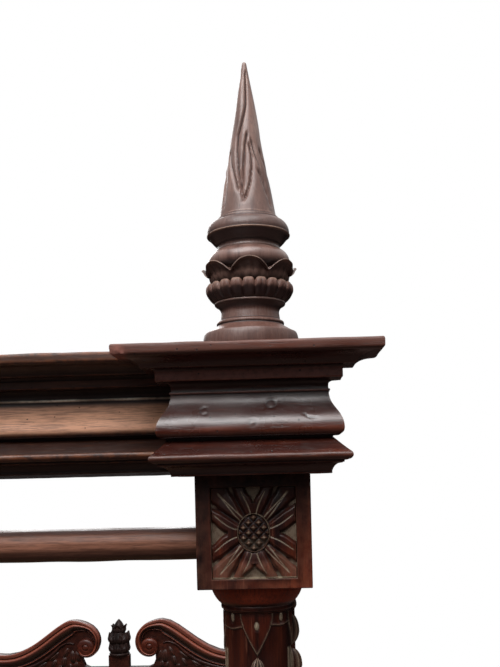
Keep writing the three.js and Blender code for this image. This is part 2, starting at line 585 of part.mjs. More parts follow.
// Everything that belongs to one corner of the bed, mirrored from one model into its quarter.
const posts = { foot: post(false), head: post(true) };
const shared = { corner: corniceCorner(), finial: finial(), bolt: bedBolt(), nut: boltNut(), cover: boltCover(), screw: coverScrew() };
for (const [end, sy] of [['foot', -1], ['head', 1]]) {
  for (const [side, sx] of [['left', -1], ['right', 1]]) {
    const corner = new THREE.Group();
    corner.position.set(sx * POST_X, sy * POST_Y, 0);
    corner.scale.set(sx, sy, 1);
    const at = `${end}_${side}`;
    corner.add(piece(`post_${at}`, posts[end]));
    corner.add(piece(`cornice_corner_${at}`, shared.corner));
    corner.add(piece(`finial_${at}`, shared.finial));
    corner.add(piece(`bed_bolt_${at}`, shared.bolt, iron));
    corner.add(piece(`bolt_nut_${at}`, shared.nut, iron));
    corner.add(piece(`bolt_cover_${at}`, shared.cover, brass));
    corner.add(piece(`cover_screw_${at}`, shared.screw, brass));
    bed.add(corner);
  }
}

// The cornice rails and curtain rods between the corners.
const [acrossHalf, alongHalf] = [POST_X - HALF - FIT, POST_Y - HALF - FIT];
const acrossRail = corniceRail(acrossHalf).add(corniceTongue(acrossHalf));
const alongRail = corniceRail(alongHalf).add(corniceTongue(alongHalf));
const turns = { foot: 0, right: 90, head: 180, left: 270 };
for (const [side, turn] of Object.entries(turns)) {
  const across = turn % 180 === 0;
  const rail = (across ? acrossRail : alongRail).translate([0, across ? -POST_Y : -POST_X, 0]).rotate([0, 0, turn]);
  bed.add(piece(`cornice_rail_${side}`, rail));
}
const footRod = piece('curtain_rod_foot', curtainRod('x', POST_X - HALF));
footRod.position.set(0, -POST_Y, ROD_Z);
bed.add(footRod);

// The bed frame, the slats and the headboard.
const endRail = bedRail(POST_X - HALF, END_TENON);
const footRail = piece('foot_rail', endRail.mirror([0, 1, 0]));
footRail.position.set(0, -POST_Y, RAIL_Z);
const headRail = piece('head_rail', endRail);
headRail.position.set(0, POST_Y, RAIL_Z);
bed.add(footRail, headRail);

const ledgerEnd = POST_Y - HALF - 40;
const frame = headboard();
const sides = { rail: sideRail(), scroll: crestScroll(), stile: frame.stile };
const ledger = box(RAIL_INNER - LEDGER, RAIL_INNER, -ledgerEnd, ledgerEnd, LEDGER_FROM, LEDGER_TO);
for (const [side, sx] of [['left', -1], ['right', 1]]) {
  const half = new THREE.Group();
  half.scale.set(sx, 1, 1);
  const sideRod = piece(`curtain_rod_${side}`, curtainRod('y', POST_Y - HALF));
  sideRod.position.set(POST_X, 0, ROD_Z);
  half.add(sideRod);
  half.add(piece(`side_rail_${side}`, sides.rail));
  half.add(piece(`slat_ledger_${side}`, ledger, softwood));
  half.add(piece(`headboard_stile_${side}`, sides.stile));
  half.add(piece(`crest_scroll_${side}`, sides.scroll));
  bed.add(half);
}

const slat = box(-RAIL_INNER + 1, RAIL_INNER - 1, -SLAT_WIDTH / 2, SLAT_WIDTH / 2, LEDGER_TO, LEDGER_TO + SLAT_THICK);
const slatReach = ledgerEnd - SLAT_END_ROOM + 40 - SLAT_WIDTH / 2;
for (let i = 0; i < SLATS; i++) {
  const made = piece(`slat_${i + 1}`, slat, softwood);
  made.position.y = -slatReach + (2 * slatReach * i) / (SLATS - 1);
  bed.add(made);
}

bed.add(piece('headboard_bottom_rail', frame.bottomRail));
bed.add(piece('headboard_top_rail', frame.topRail));
bed.add(piece('headboard_panel', frame.panel));
bed.add(piece('crest_board', crestBoard()));
bed.add(piece('crest_finial', crestFinial()));

export default bed;
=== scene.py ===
"""A turned and carved four-poster bed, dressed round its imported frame.

Every shape is drawn in millimetres and made to metres when it is finished. A corner of the bed is
drawn once, in the frame of its own post, where +X and +Y point away from the bed.
"""

from __future__ import annotations

import logging
import math
from collections.abc import Callable, Iterable, Sequence
from dataclasses import dataclass, field
from enum import Enum

import bmesh
import bpy
import numpy as np
from bmesh.types import BMEdge, BMesh, BMFace, BMVert
from mathutils import Matrix, Vector, noise


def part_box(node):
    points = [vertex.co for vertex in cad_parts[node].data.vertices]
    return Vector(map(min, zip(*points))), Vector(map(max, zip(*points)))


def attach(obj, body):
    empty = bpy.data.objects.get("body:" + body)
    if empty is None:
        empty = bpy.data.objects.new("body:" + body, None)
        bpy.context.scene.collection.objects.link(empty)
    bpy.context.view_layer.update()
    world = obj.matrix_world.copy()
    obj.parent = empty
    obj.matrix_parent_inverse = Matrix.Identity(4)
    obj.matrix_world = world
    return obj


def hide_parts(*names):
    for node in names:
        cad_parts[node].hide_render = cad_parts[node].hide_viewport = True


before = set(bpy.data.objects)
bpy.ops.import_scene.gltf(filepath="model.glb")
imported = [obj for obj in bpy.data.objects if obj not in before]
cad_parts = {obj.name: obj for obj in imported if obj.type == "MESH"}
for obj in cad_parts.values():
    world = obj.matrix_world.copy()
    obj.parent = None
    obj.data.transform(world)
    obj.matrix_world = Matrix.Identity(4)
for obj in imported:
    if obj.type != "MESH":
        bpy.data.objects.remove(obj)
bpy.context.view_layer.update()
log = logging.getLogger("four_poster_bed")

MM = 0.001
Point = tuple[float, float]
Point3 = tuple[float, float, float]
Colour = tuple[float, float, float]
Rows = tuple[tuple[float, ...], ...]
Placing = Callable[[float, float, float], Sequence[float]]
Material = bpy.types.Material
Socket = bpy.types.NodeSocket
SIDEWAYS = (Vector((1, 0, 0)), Vector((0, 1, 0)))
FACING_FRONT = Matrix.Rotation(math.pi / 2, 4, "X")
WHITE = (1.0, 1.0, 1.0)


class End(Enum):
    """An end of the bed, by the sign of its Y."""

    FOOT = -1
    HEAD = 1


class Side(Enum):
    """A side of the bed, by the sign of its X."""

    LEFT = -1
    RIGHT = 1


class Grain(Enum):
    """The axis that the grain of a piece of wood runs along."""

    X = 0
    Y = 1
    Z = 2


def paint(red: int, green: int, blue: int) -> Colour:
    """A colour as linear light.

    Args:
        red, green, blue: the colour as it is seen on a screen, 0 to 255.

    Returns:
        The three linear values.
    """

    def linear(value: float) -> float:
        """One of the three values as linear light."""
        share = value / 255
        return share / 12.92 if share <= 0.04045 else ((share + 0.055) / 1.055) ** 2.4

    return linear(red), linear(green), linear(blue)


def smooth(low: float, high: float, value: float) -> float:
    """A soft step from 0 at low to 1 at high."""
    share = min(1.0, max(0.0, (value - low) / (high - low)))
    return share * share * (3 - 2 * share)


def band(value: float, start: float, full: float, fades: float, end: float) -> float:
    """A soft band: 0 up to start, 1 from full to fades, and 0 again from end."""
    return smooth(start, full, value) * smooth(end, fades, value)


def bell(value: float) -> float:
    """A soft bump: 1 at 0, and next to nothing from 2 on either side."""
    return math.exp(-(value**2))


def between(first: Point, second: Point, share: float) -> Point:
    """The point at a share of the way from one point to another."""
    return first[0] + (second[0] - first[0]) * share, first[1] + (second[1] - first[1]) * share


@dataclass
class Outline:
    """The outline of a moulding, drawn as a chain of lines, beads and curves.

    a is the distance out and b the height. Every line and curve is cut into steps of about step.
    """

    a: float
    b: float
    step: float = 2.5
    points: list[Point] = field(init=False)

    def __post_init__(self) -> None:
        """Starts the chain."""
        self.points = [(self.a, self.b)]

    def to(self, a: float, b: float) -> Outline:
        """A straight line to a place.

        Args:
            a, b: the place.

        Returns:
            The outline.
        """
        a0, b0 = self.points[-1]
        count = max(1, round(math.hypot(a - a0, b - b0) / self.step))
        for i in range(1, count + 1):
            self.points.append((a0 + (a - a0) * i / count, b0 + (b - b0) * i / count))
        return self

    def up(self, a: float, rise: float) -> Outline:
        """A straight line to a distance, that much higher."""
        return self.to(a, self.points[-1][1] + rise)

    def bead(self, rise: float, swell: float) -> Outline:
        """A half-round bead, or a hollow where swell is negative.

        Args:
            rise: its height.
            swell: how far it stands out.

        Returns:
            The outline.
        """
        a0, b0 = self.points[-1]
        count = max(6, round(1.5 * abs(rise) / self.step))
        for i in range(1, count + 1):
            angle = math.pi * i / count
            self.points.append((a0 + swell * math.sin(angle), b0 + rise * (1 - math.cos(angle)) / 2))
        return self

    def bend(self, *places: Point) -> Outline:
        """A curve to the last of the places, pulled towards the others.

        Args:
            places: one or two places to be pulled towards, and the end.

        Returns:
            The outline.
        """
        chain = [self.points[-1], *places]
        length = sum(map(math.dist, chain, chain[1:]))
        count = max(len(chain), round(length / self.step))
        for i in range(1, count):
            pulled = chain
            while len(pulled) > 1:
                pulled = [between(*pair, i / count) for pair in zip(pulled, pulled[1:])]
            self.points.append(pulled[0])
        self.points.append(places[-1])
        return self

    def curve(self, a: float, rise: float, pull: float, share: float) -> Outline:
        """A curve to a distance that much higher, pulled towards another at a share of its rise."""
        b0 = self.points[-1][1]
        return self.bend((pull, b0 + rise * share), (a, b0 + rise))

    def softened(self, reach: float, corner: float = 0.35) -> list[Point]:
        """The outline with its corners eased.

        Args:
            reach: how far from the corner the easing starts.
            corner: the smallest turn, in radians, that counts as a corner.

        Returns:
            The eased points.
        """
        made = [self.points[0]]
        for before, here, after in zip(self.points, self.points[1:], self.points[2:]):
            came, goes = Vector(here) - Vector(before), Vector(after) - Vector(here)
            if min(came.length, goes.length) > 1e-6 and came.angle(goes) > corner:
                cut = min(reach, came.length * 0.45, goes.length * 0.45)
                first = Vector(here) - came.normalized() * cut
                last = Vector(here) + goes.normalized() * cut
                middle = (first + last) * 0.25 + Vector(here) * 0.5
                made += [tuple(first), tuple(middle), tuple(last)]
            else:
                made.append(here)
        return [*made, self.points[-1]]


def spun(points: Sequence[Point], steps: int, angle: float) -> BMesh:
    """A chain of points in the XZ plane, spun about Z.

    Args:
        points: the chain.
        steps: how many steps the spin is cut into.
        angle: a full turn, or 0 to close the chain on itself and draw it along Y, 1 mm a step.

    Returns:
        The mesh, not closed yet.
    """
    bm = bmesh.new()
    verts = [bm.verts.new((a, 0, b)) for a, b in points]
    ends = verts[1:] if angle else verts[1:] + verts[:1]
    edges = [bm.edges.new(pair) for pair in zip(verts, ends)]
    bmesh.ops.spin(
        bm, geom=verts + edges, cent=(0, 0, 0), axis=(0, 0, 1), dvec=(0, 0 if angle else 1, 0), angle=angle,
        steps=steps, use_merge=bool(angle), use_duplicate=False,
    )
    return bm


def turn(points: Sequence[Point], sides: int) -> BMesh:
    """A turned solid about Z.

    Args:
        points: the outline, which starts and ends on the axis.
        sides: how many sides the turning has.

    Returns:
        The closed mesh.
    """
    return closed(spun(points, sides, math.tau))


def bevelled(bm: BMesh, edges: Sequence[BMEdge], width: float, segments: int) -> BMesh:
    """Bevels some edges of a shape.

    Args:
        bm: the shape.
        edges: the edges.
        width: the bevel's width.
        segments: how many steps it has.

    Returns:
        The same shape.
    """
    bmesh.ops.bevel(
        bm, geom=edges, offset=width, segments=segments, profile=0.5, affect="EDGES", material=-1,
        offset_type="OFFSET", clamp_overlap=True,
    )
    return bm


def inset_faces(bm: BMesh, faces: Sequence[BMFace], width: float, depth: float = 0.0) -> None:
    """Insets each of some faces of a shape, and sinks them where depth is less than 0."""
    bmesh.ops.inset_individual(bm, faces=faces, thickness=width, depth=depth, use_even_offset=True)


def sliced(bm: BMesh, at: Sequence[float], direction: Sequence[float], drop: bool = False) -> None:
    """Cuts a shape along a plane, and drops what lies beyond it if asked to."""
    whole = bm.verts[:] + bm.edges[:] + bm.faces[:]
    bmesh.ops.bisect_plane(bm, geom=whole, dist=1e-4, plane_co=at, plane_no=direction, clear_outer=drop)


def spread(v: BMVert, factor: float) -> None:
    """Moves a corner of a shape away from the Z axis, or towards it."""
    v.co.x *= factor
    v.co.y *= factor


def closed(bm: BMesh, near: float = 1e-4) -> BMesh:
    """Merges a shape's doubles, fills its open ends and turns its faces outwards.

    Args:
        bm: the shape.
        near: the distance up to which corners count as doubles.

    Returns:
        The same shape.
    """
    bmesh.ops.remove_doubles(bm, verts=bm.verts[:], dist=near)
    rims = [e for e in bm.edges if e.is_boundary or e.is_wire]
    if rims:
        bmesh.ops.holes_fill(bm, edges=rims, sides=0)
    bmesh.ops.recalc_face_normals(bm, faces=bm.faces[:])
    return bm


def sweep(points: Sequence[Point], steps: int, place: Placing) -> BMesh:
    """A section carried along a run.

    Args:
        points: the section's corners in order, a out and b up. It closes on itself.
        steps: how many steps the run is cut into.
        place: gives a corner's place from a, its share of the run, and b.

    Returns:
        The closed mesh.
    """
    bm = spun(points, steps, 0)
    for v in bm.verts:
        v.co = place(v.co.x, v.co.y / steps, v.co.z)
    return closed(bm, 1e-3)


def block(low: Sequence[float], high: Sequence[float], ease: float = 0.0) -> BMesh:
    """A box between two corners, with its edges eased.

    Args:
        low, high: its lowest and highest corner.
        ease: the width of the bevel on its edges, or 0 for none.

    Returns:
        The closed mesh.
    """
    bm = bmesh.new()
    bmesh.ops.create_cube(bm, size=1)
    size = [h - l for l, h in zip(low, high)]
    centre = [(h + l) / 2 for l, h in zip(low, high)]
    bmesh.ops.scale(bm, vec=size, verts=bm.verts[:])
    bmesh.ops.translate(bm, vec=centre, verts=bm.verts[:])
    if ease:
        bevelled(bm, bm.edges[:], ease, 2)
    return bm


def mesh_of(bm: BMesh, name: str) -> bpy.types.Mesh:
    """A mesh made from a shape, which is used up.

    Args:
        bm: the shape.
        name: the mesh's name.

    Returns:
        The mesh.
    """
    mesh = bpy.data.meshes.new(name)
    bm.to_mesh(mesh)
    bm.free()
    return mesh


def placed(name: str, data: bpy.types.ID) -> bpy.types.Object:
    """A new object in the scene.

    Args:
        name: its name.
        data: its mesh, lamp or camera.

    Returns:
        The object.
    """
    made = bpy.data.objects.new(name, data)
    bpy.context.scene.collection.objects.link(made)
    return made


def middle_of_node(node: str) -> Vector:
    """The middle of one of the frame's nodes, in millimetres."""
    low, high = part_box(node)
    return (low + high) / 2 / MM


def joined(parts: Iterable[BMesh]) -> BMesh:
    """One mesh from several, which are used up.

    Args:
        parts: the shapes.

    Returns:
        The one mesh.
    """
    whole = bmesh.new()
    for part in parts:
        mesh = mesh_of(part, "part")
        whole.from_mesh(mesh)
        bpy.data.meshes.remove(mesh)
    return whole


def moved(bm: BMesh, matrix: Matrix) -> BMesh:
    """A shape taken to another place, with its faces still outwards.

    Args:
        bm: the shape.
        matrix: where it goes.

    Returns:
        The same shape.
    """
    bmesh.ops.transform(bm, matrix=matrix, verts=bm.verts[:])
    if matrix.determinant() < 0:
        bmesh.ops.reverse_faces(bm, faces=bm.faces[:])
    return bm


def uneven(bm: BMesh, amount: float, size: float, seed: float = 0.0) -> BMesh:
    """Gives a shape the slight unevenness of handwork.

    Args:
        bm: the shape.
        amount: how far its surface may wander.
        size: how long a wave of it is.
        seed: moves the pattern.

    Returns:
        The same shape.
    """
    bm.normal_update()
    shifts = [v.normal * (amount * noise.noise(v.co / size + Vector((seed, 3.7, 1.3)))) for v in bm.verts]
    for v, shift in zip(bm.verts, shifts):
        v.co += shift
    return bm


def marked(bm: BMesh, name: str, share: Callable[[Vector], float]) -> BMesh:
    """Gives every corner of a shape a share under a name, for the material to read.

    Args:
        bm: the shape.
        name: the name.
        share: gives the share at a place.

    Returns:
        The same shape.
    """
    layer = bm.verts.layers.float.get(name) or bm.verts.layers.float.new(name)
    for v in bm.verts:
        v[layer] = share(v.co)
    return bm


def write_wear(mesh: bpy.types.Mesh, reach: float) -> None:
    """Marks a mesh with how worn each place is, from -1 in a hollow to 1 on an edge, and with its undersides,
    where the material paints shade.

    Args:
        mesh: the mesh, in metres.
        reach: the size in millimetres of the details that count.
    """
    count = len(mesh.vertices)
    places = np.empty(count * 3)
    mesh.vertices.foreach_get("co", places)
    places = places.reshape(-1, 3) / MM
    normals = np.empty(count * 3)
    mesh.vertex_normals.foreach_get("vector", normals)
    normals = normals.reshape(-1, 3)
    edges = np.empty(len(mesh.edges) * 2, dtype=np.int64)
    mesh.edges.foreach_get("vertices", edges)
    first, second = edges.reshape(-1, 2).T
    way = places[second] - places[first]
    squared = (way**2).sum(1) + 0.04
    bends = np.bincount(first, -(way * normals[first]).sum(1) / squared, count)
    bends += np.bincount(second, (way * normals[second]).sum(1) / squared, count)
    meets = np.maximum(1, np.bincount(first, minlength=count) + np.bincount(second, minlength=count))
    wear = np.tanh(2 * reach * bends / meets)
    for _ in range(2):
        around = np.bincount(first, wear[second], count) + np.bincount(second, wear[first], count)
        wear = 0.5 * wear + 0.5 * around / meets
    # Undersides, for the material to paint shade on.
    under = np.clip(-2.2 * normals[:, 2] - 0.05, 0, 1)
    for name, values in (("wear", np.clip(1.5 * wear, -1, 1)), ("under", under)):
        attribute = mesh.attributes.new(name, "FLOAT", "POINT")
        attribute.data.foreach_set("value", values.astype(np.float32))


def keep_flat(mesh: bpy.types.Mesh, wide: float = 400.0) -> None:
    """Keeps the shading of a mesh's wide faces flat up to their edges.

    Args:
        mesh: the mesh, in metres.
        wide: the area in square millimetres from which a face counts as wide.
    """
    areas = np.empty(len(mesh.polygons))
    mesh.polygons.foreach_get("area", areas)
    for index in np.flatnonzero(areas > wide * MM * MM):
        for corner in mesh.polygons[int(index)].loop_indices:
            mesh.edges[mesh.loops[corner].edge_index].use_edge_sharp = True


@dataclass(frozen=True)
class Nodes:
    """A material's node tree, with short ways to add to it."""

    tree: bpy.types.NodeTree

    def add(self, kind: str, **values: object) -> bpy.types.Node:
        """Adds a node.

        Args:
            kind: the node's type.
            values: its settings by attribute, or by input name where it has no such attribute.

        Returns:
            The node.
        """
        node = self.tree.nodes.new(kind)
        for name, value in values.items():
            if hasattr(node, name):
                setattr(node, name, value)
            else:
                self.feed(node.inputs[name.replace("_", " ")], value)
        return node

    def feed(self, socket: Socket, value: object) -> None:
        """Links a socket to another, or sets it.

        Args:
            socket: the input.
            value: what it gets.
        """
        if isinstance(value, Socket):
            self.tree.links.new(value, socket)
        else:
            socket.default_value = value

    def maths(self, operation: str, first: object, second: object, clamp: bool = False) -> Socket:
        """The result of one step of arithmetic.

        Args:
            operation: the step.
            first, second: its values.
            clamp: true to keep the result from 0 to 1.

        Returns:
            Its socket.
        """
        node = self.tree.nodes.new("ShaderNodeMath")
        node.operation = operation
        node.use_clamp = clamp
        self.feed(node.inputs[0], first)
        self.feed(node.inputs[1], second)
        return node.outputs[0]

    def times(self, first: object, second: object) -> Socket:
        """The product of two values."""
        return self.maths("MULTIPLY", first, second)

    def plus(self, first: object, second: object, clamp: bool = False) -> Socket:
        """The total of two values, kept from 0 to 1 if asked to."""
        return self.maths("ADD", first, second, clamp)

    def mix(self, share: object, first: object, second: object) -> Socket:
        """One colour laid over another.

        Args:
            share: how much of the second shows.
            first, second: the colours.

        Returns:
            Its socket.
        """
        node = self.tree.nodes.new("ShaderNodeMix")
        node.data_type = "RGBA"
        self.feed(node.inputs["Factor"], share)
        for socket, value in ((node.inputs[6], first), (node.inputs[7], second)):
            self.feed(socket, (*value, 1.0) if isinstance(value, tuple) else value)
        return node.outputs[2]

    def span(self, value: object, low: float, high: float, start: float = 0.0, end: float = 1.0) -> Socket:
        """A value carried softly from low..high to start..end.

        Args:
            value: the value.
            low, high: the span that it has.
            start, end: the span that it gets.

        Returns:
            Its socket.
        """
        node = self.tree.nodes.new("ShaderNodeMapRange")
        node.interpolation_type = "SMOOTHSTEP"
        for socket, number in zip(node.inputs, (value, low, high, start, end)):
            self.feed(socket, number)
        return node.outputs[0]

    def cloud(self, place: object, scale: float, detail: float = 3.0, rough: float = 0.55) -> Socket:
        """A soft random pattern."""
        node = self.add("ShaderNodeTexNoise", Vector=place, Scale=scale, Detail=detail, Roughness=rough)
        return node.outputs[0]

    def grained(
        self, place: Socket, grain: Grain, scales: Point, detail: float = 3.0, rough: float = 0.55
    ) -> Socket:
        """A soft random pattern drawn out along the grain, by its scales along and across it.

        Args:
            place: the place on the object.
            grain: the axis of the grain.
            scales: the two scales.
            detail, rough: how finely and how roughly the pattern is broken up.

        Returns:
            Its socket.
        """
        along, across = scales
        scale = [across] * 3
        scale[grain.value] = along
        drawn = self.add("ShaderNodeMapping", Vector=place, Scale=tuple(scale)).outputs[0]
        return self.cloud(drawn, 1, detail, rough)

    def object_place(self) -> Socket:
        """The place on the object, in metres."""
        return self.add("ShaderNodeTexCoord").outputs["Object"]

    def mark(self, name: str) -> Socket:
        """The share that a mesh carries under that name."""
        return self.add("ShaderNodeAttribute", attribute_name=name).outputs["Fac"]


def new_material(name: str) -> tuple[Material, Nodes, bpy.types.Node]:
    """An empty material, its nodes and its shader.

    Args:
        name: the material's name.

    Returns:
        The three of them.
    """
    material = bpy.data.materials.new(name)
    material.use_nodes = True
    nodes = Nodes(material.node_tree)
    return material, nodes, material.node_tree.nodes["Principled BSDF"]


# How fine each pattern is along the grain and across it.
FIGURE = (5.0, 62.0)
BANDS = (2.2, 15.0)
PORES = (36.0, 820.0)
CAST = (3.5, 9.0)
SCRATCHES = (14.0, 300.0)
RUBBED_AND_LIT_STREAKS = (26.0, 360.0)
STROKES = (60.0, 1400.0)
WORMHOLES = 64.0
COAT_ROUGHNESS = 0.32


@dataclass(frozen=True)
class WoodFinish:
    """Old polished hardwood: figure along the grain, pores, worn edges, dirt and painted shade in the
    hollows, and painted shade on undersides.

    Its colours are as seen on a screen, 0 to 255.
    """

    name: str
    dark: Colour
    middle: Colour
    light: Colour
    worn: Colour = (150, 104, 82)
    # The colour of grime, also used to paint shade in hollows, on undersides and where a mesh is marked.
    grime_and_shade: Colour = (20, 11, 10)
    # The colour of pale dust, also used to paint highlights and light where a mesh is marked.
    dust: Colour = (158, 144, 122)
    # The colour of rubbed wood, also used to paint light where a mesh is marked.
    rubbed: Colour = (150, 60, 32)
    wear: float = 0.7
    # How dark the hollows get: dirt and painted shade.
    hollow_dirt_and_shade: float = 0.85
    gloss: float = 0.36
    specular: float = 0.45
    holes: float = 0.0
    scratches: float = 0.35
    # How much shade is painted on undersides.
    underside_shade: float = 0.6
    polished: bool = False

    def material(self, grain: Grain) -> Material:
        """The finish with its grain along one axis, made once.

        Args:
            grain: the axis of the grain.

        Returns:
            The material.
        """
        title = f"{self.name}_{grain.name.lower()}"
        known = bpy.data.materials.get(title)
        if known:
            return known
        material, n, shader = new_material(title)
        place = n.object_place()
        worn, grime_and_shade, dust, rubbed = (paint(*c) for c in (self.worn, self.grime_and_shade, self.dust, self.rubbed))
        figure, bands = n.grained(place, grain, FIGURE, 6, 0.62), n.grained(place, grain, BANDS)
        tone = n.plus(n.times(figure, 0.62), n.times(bands, 0.38))
        wear = n.mark("wear")
        patchy = n.span(n.cloud(place, 75, 4, 0.65), 0.34, 0.66)
        edge = n.times(n.span(wear, 0.16, 0.8), n.times(patchy, self.wear))
        # Rubbed wood, and painted light where a mesh marks it.
        bare_and_lit = n.span(n.grained(place, grain, RUBBED_AND_LIT_STREAKS, 4, 0.7), 0.34, 0.6, 0.5, 1)
        bare_and_lit = n.times(n.mark("rubbed"), bare_and_lit)
        pore = n.span(n.grained(place, grain, PORES, 2), 0.56, 0.68)
        # Hollows darken with dirt and with painted shade.
        hollow = n.span(n.times(wear, -1.0), 0.08, 0.62)
        # Real stains, and painted shade and shadows where a mesh marks them.
        stain_and_shade_patches = n.times(n.mark("stain_and_shade"), n.span(n.cloud(place, 55, 4, 0.65), 0.3, 0.6, 0.55, 1))
        # Painted shade on undersides, added to the stained and shaded marks.
        shade_and_stain_share = n.plus(n.times(n.mark("under"), self.underside_shade), stain_and_shade_patches, clamp=True)
        # Pale dust, and painted highlights where a mesh marks them.
        dust_and_highlight_patches = n.times(n.mark("dust"), n.span(n.cloud(place, 120, 5, 0.7), 0.26, 0.6, 0.35, 1))
        colour = self.figured(n, place, grain, tone)
        for share, layer in (
            (edge, worn), (bare_and_lit, rubbed), (n.times(pore, 0.42), grime_and_shade), (n.times(hollow, self.hollow_dirt_and_shade), grime_and_shade),
            (shade_and_stain_share, grime_and_shade), (dust_and_highlight_patches, dust),
        ):
            colour = n.mix(share, colour, layer)
        height = n.maths("SUBTRACT", n.times(tone, 0.5), n.times(pore, 0.22))
        height = n.plus(height, n.times(n.cloud(place, 260, 3, 0.7), 0.12))
        if self.holes:
            cells = n.add("ShaderNodeTexVoronoi", Vector=place, Scale=WORMHOLES)
            hole = n.span(cells.outputs["Distance"], 0.06, 0.1, self.holes, 0)
            colour = n.mix(hole, colour, grime_and_shade)
            height = n.maths("SUBTRACT", height, n.times(hole, 1.6))
        rough = n.span(n.cloud(place, 11, 4, 0.6), 0.3, 0.7, self.gloss - 0.05, self.gloss + 0.12)
        rough = n.plus(rough, n.times(hollow, 0.2))
        rough = n.plus(rough, n.times(n.plus(dust_and_highlight_patches, bare_and_lit), 0.3), clamp=True)
        bump = n.add("ShaderNodeBump", Strength=0.35, Distance=0.0012, Height=height)
        n.feed(shader.inputs["Base Color"], colour)
        n.feed(shader.inputs["Roughness"], rough)
        n.feed(shader.inputs["Normal"], bump.outputs[0])
        if self.polished:
            n.feed(shader.inputs["Coat Weight"], n.mark("polish"))
        shader.inputs["Specular IOR Level"].default_value = self.specular
        shader.inputs["Coat Roughness"].default_value = COAT_ROUGHNESS
        return material

    def figured(self, n: Nodes, place: Socket, grain: Grain, tone: Socket) -> Socket:
        """The wood's own colours.

        Args:
            n: the material's nodes.
            place: the place on the object.
            grain: the axis of the grain.
            tone: how light the figure is at a place.

        Returns:
            The colour, with its darker casts and its scratches.
        """
        dark, middle, light, worn = (paint(*c) for c in (self.dark, self.middle, self.light, self.worn))
        colour = n.mix(n.span(tone, 0.36, 0.5), dark, middle)
        colour = n.mix(n.span(tone, 0.5, 0.66), colour, light)
        colour = n.mix(n.span(n.grained(place, grain, CAST), 0.5, 0.72, 0, 0.4), colour, dark)
        scratch = n.span(n.grained(place, grain, SCRATCHES, 2), 0.66, 0.72)
        return n.mix(n.times(scratch, self.scratches), colour, worn)


@dataclass(frozen=True)
class MetalFinish:
    """Old metal: brushed, spotted and dull in its hollows."""

    name: str
    bright: Colour
    dull: Colour
    gloss: float

    def material(self) -> Material:
        """The finish, made once.

        Returns:
            The material.
        """
        known = bpy.data.materials.get(self.name)
        if known:
            return known
        material, n, shader = new_material(self.name)
        place = n.object_place()
        spots = n.span(n.cloud(place, 160, 5, 0.7), 0.42, 0.7)
        strokes = n.grained(place, Grain.Z, STROKES, 2)
        hollow = n.span(n.times(n.mark("wear"), -1.0), 0.05, 0.6)
        share = n.plus(n.times(spots, 0.6), hollow, clamp=True)
        n.feed(shader.inputs["Base Color"], n.mix(share, paint(*self.bright), paint(*self.dull)))
        n.feed(shader.inputs["Roughness"], n.span(share, 0, 1, self.gloss, self.gloss + 0.25))
        height = n.plus(n.times(spots, 0.4), n.times(strokes, 0.3))
        bump = n.add("ShaderNodeBump", Strength=0.2, Distance=0.0004, Height=height)
        n.feed(shader.inputs["Normal"], bump.outputs[0])
        shader.inputs["Metallic"].default_value = 1.0
        return material


CARVED = WoodFinish(
    "carved_hardwood", (26, 10, 9), (54, 22, 15), (88, 39, 23), worn=(120, 76, 58), specular=0.28, gloss=0.32,
    underside_shade=0.2,
)
CREST_WOOD = WoodFinish(
    "polished_crest_wood", (42, 15, 10), (72, 29, 20), (112, 52, 35), worn=(124, 66, 48), specular=0.35,
    gloss=0.28, wear=0.35, polished=True, rubbed=(158, 76, 50),
)
DARK_CARVED = WoodFinish(
    "dark_carved_hardwood", (26, 17, 16), (46, 31, 29), (72, 54, 50), worn=(104, 84, 78), specular=0.22,
    gloss=0.4,
)
TURNED = WoodFinish(
    "weathered_finial_wood", (82, 56, 49), (119, 90, 81), (146, 117, 106), worn=(166, 140, 128), gloss=0.34,
    grime_and_shade=(26, 18, 20), specular=0.4, underside_shade=0.9, rubbed=(88, 52, 40), dust=(150, 120, 102), polished=True,
)
MOULDED = WoodFinish(
    "worn_cornice_wood", (30, 16, 13), (58, 34, 26), (92, 54, 38), worn=(142, 80, 46), holes=0.8,
    specular=0.4, gloss=0.36, wear=0.5, rubbed=(206, 154, 124), dust=(232, 224, 208),
)
CORNER_WOOD = WoodFinish(
    "corner_cornice_wood", (42, 15, 11), (68, 29, 21), (102, 49, 33), worn=(130, 70, 44), holes=0.9,
    gloss=0.26, specular=0.5, wear=0.35, rubbed=(84, 42, 27), dust=(150, 96, 84), polished=True,
)
PLAIN = WoodFinish(
    "plain_frame_wood", (44, 22, 15), (80, 44, 31), (124, 78, 58), worn=(146, 104, 80), specular=0.4,
    gloss=0.3,
)
ROD = WoodFinish(
    "rod_wood", (40, 20, 15), (66, 36, 27), (98, 58, 44), worn=(124, 84, 64), specular=0.35,
    gloss=0.34, rubbed=(168, 114, 90),
)
SLATS = WoodFinish(
    "pale_slat_wood", (126, 92, 62), (160, 122, 86), (186, 150, 112), worn=(200, 170, 136),
    grime_and_shade=(80, 54, 36), gloss=0.62, specular=0.3, wear=0.4, hollow_dirt_and_shade=0.5,
)
BRASS = MetalFinish("old_brass", (196, 152, 78), (104, 76, 40), 0.28)
IRON = MetalFinish("black_iron", (92, 88, 84), (48, 44, 42), 0.45)


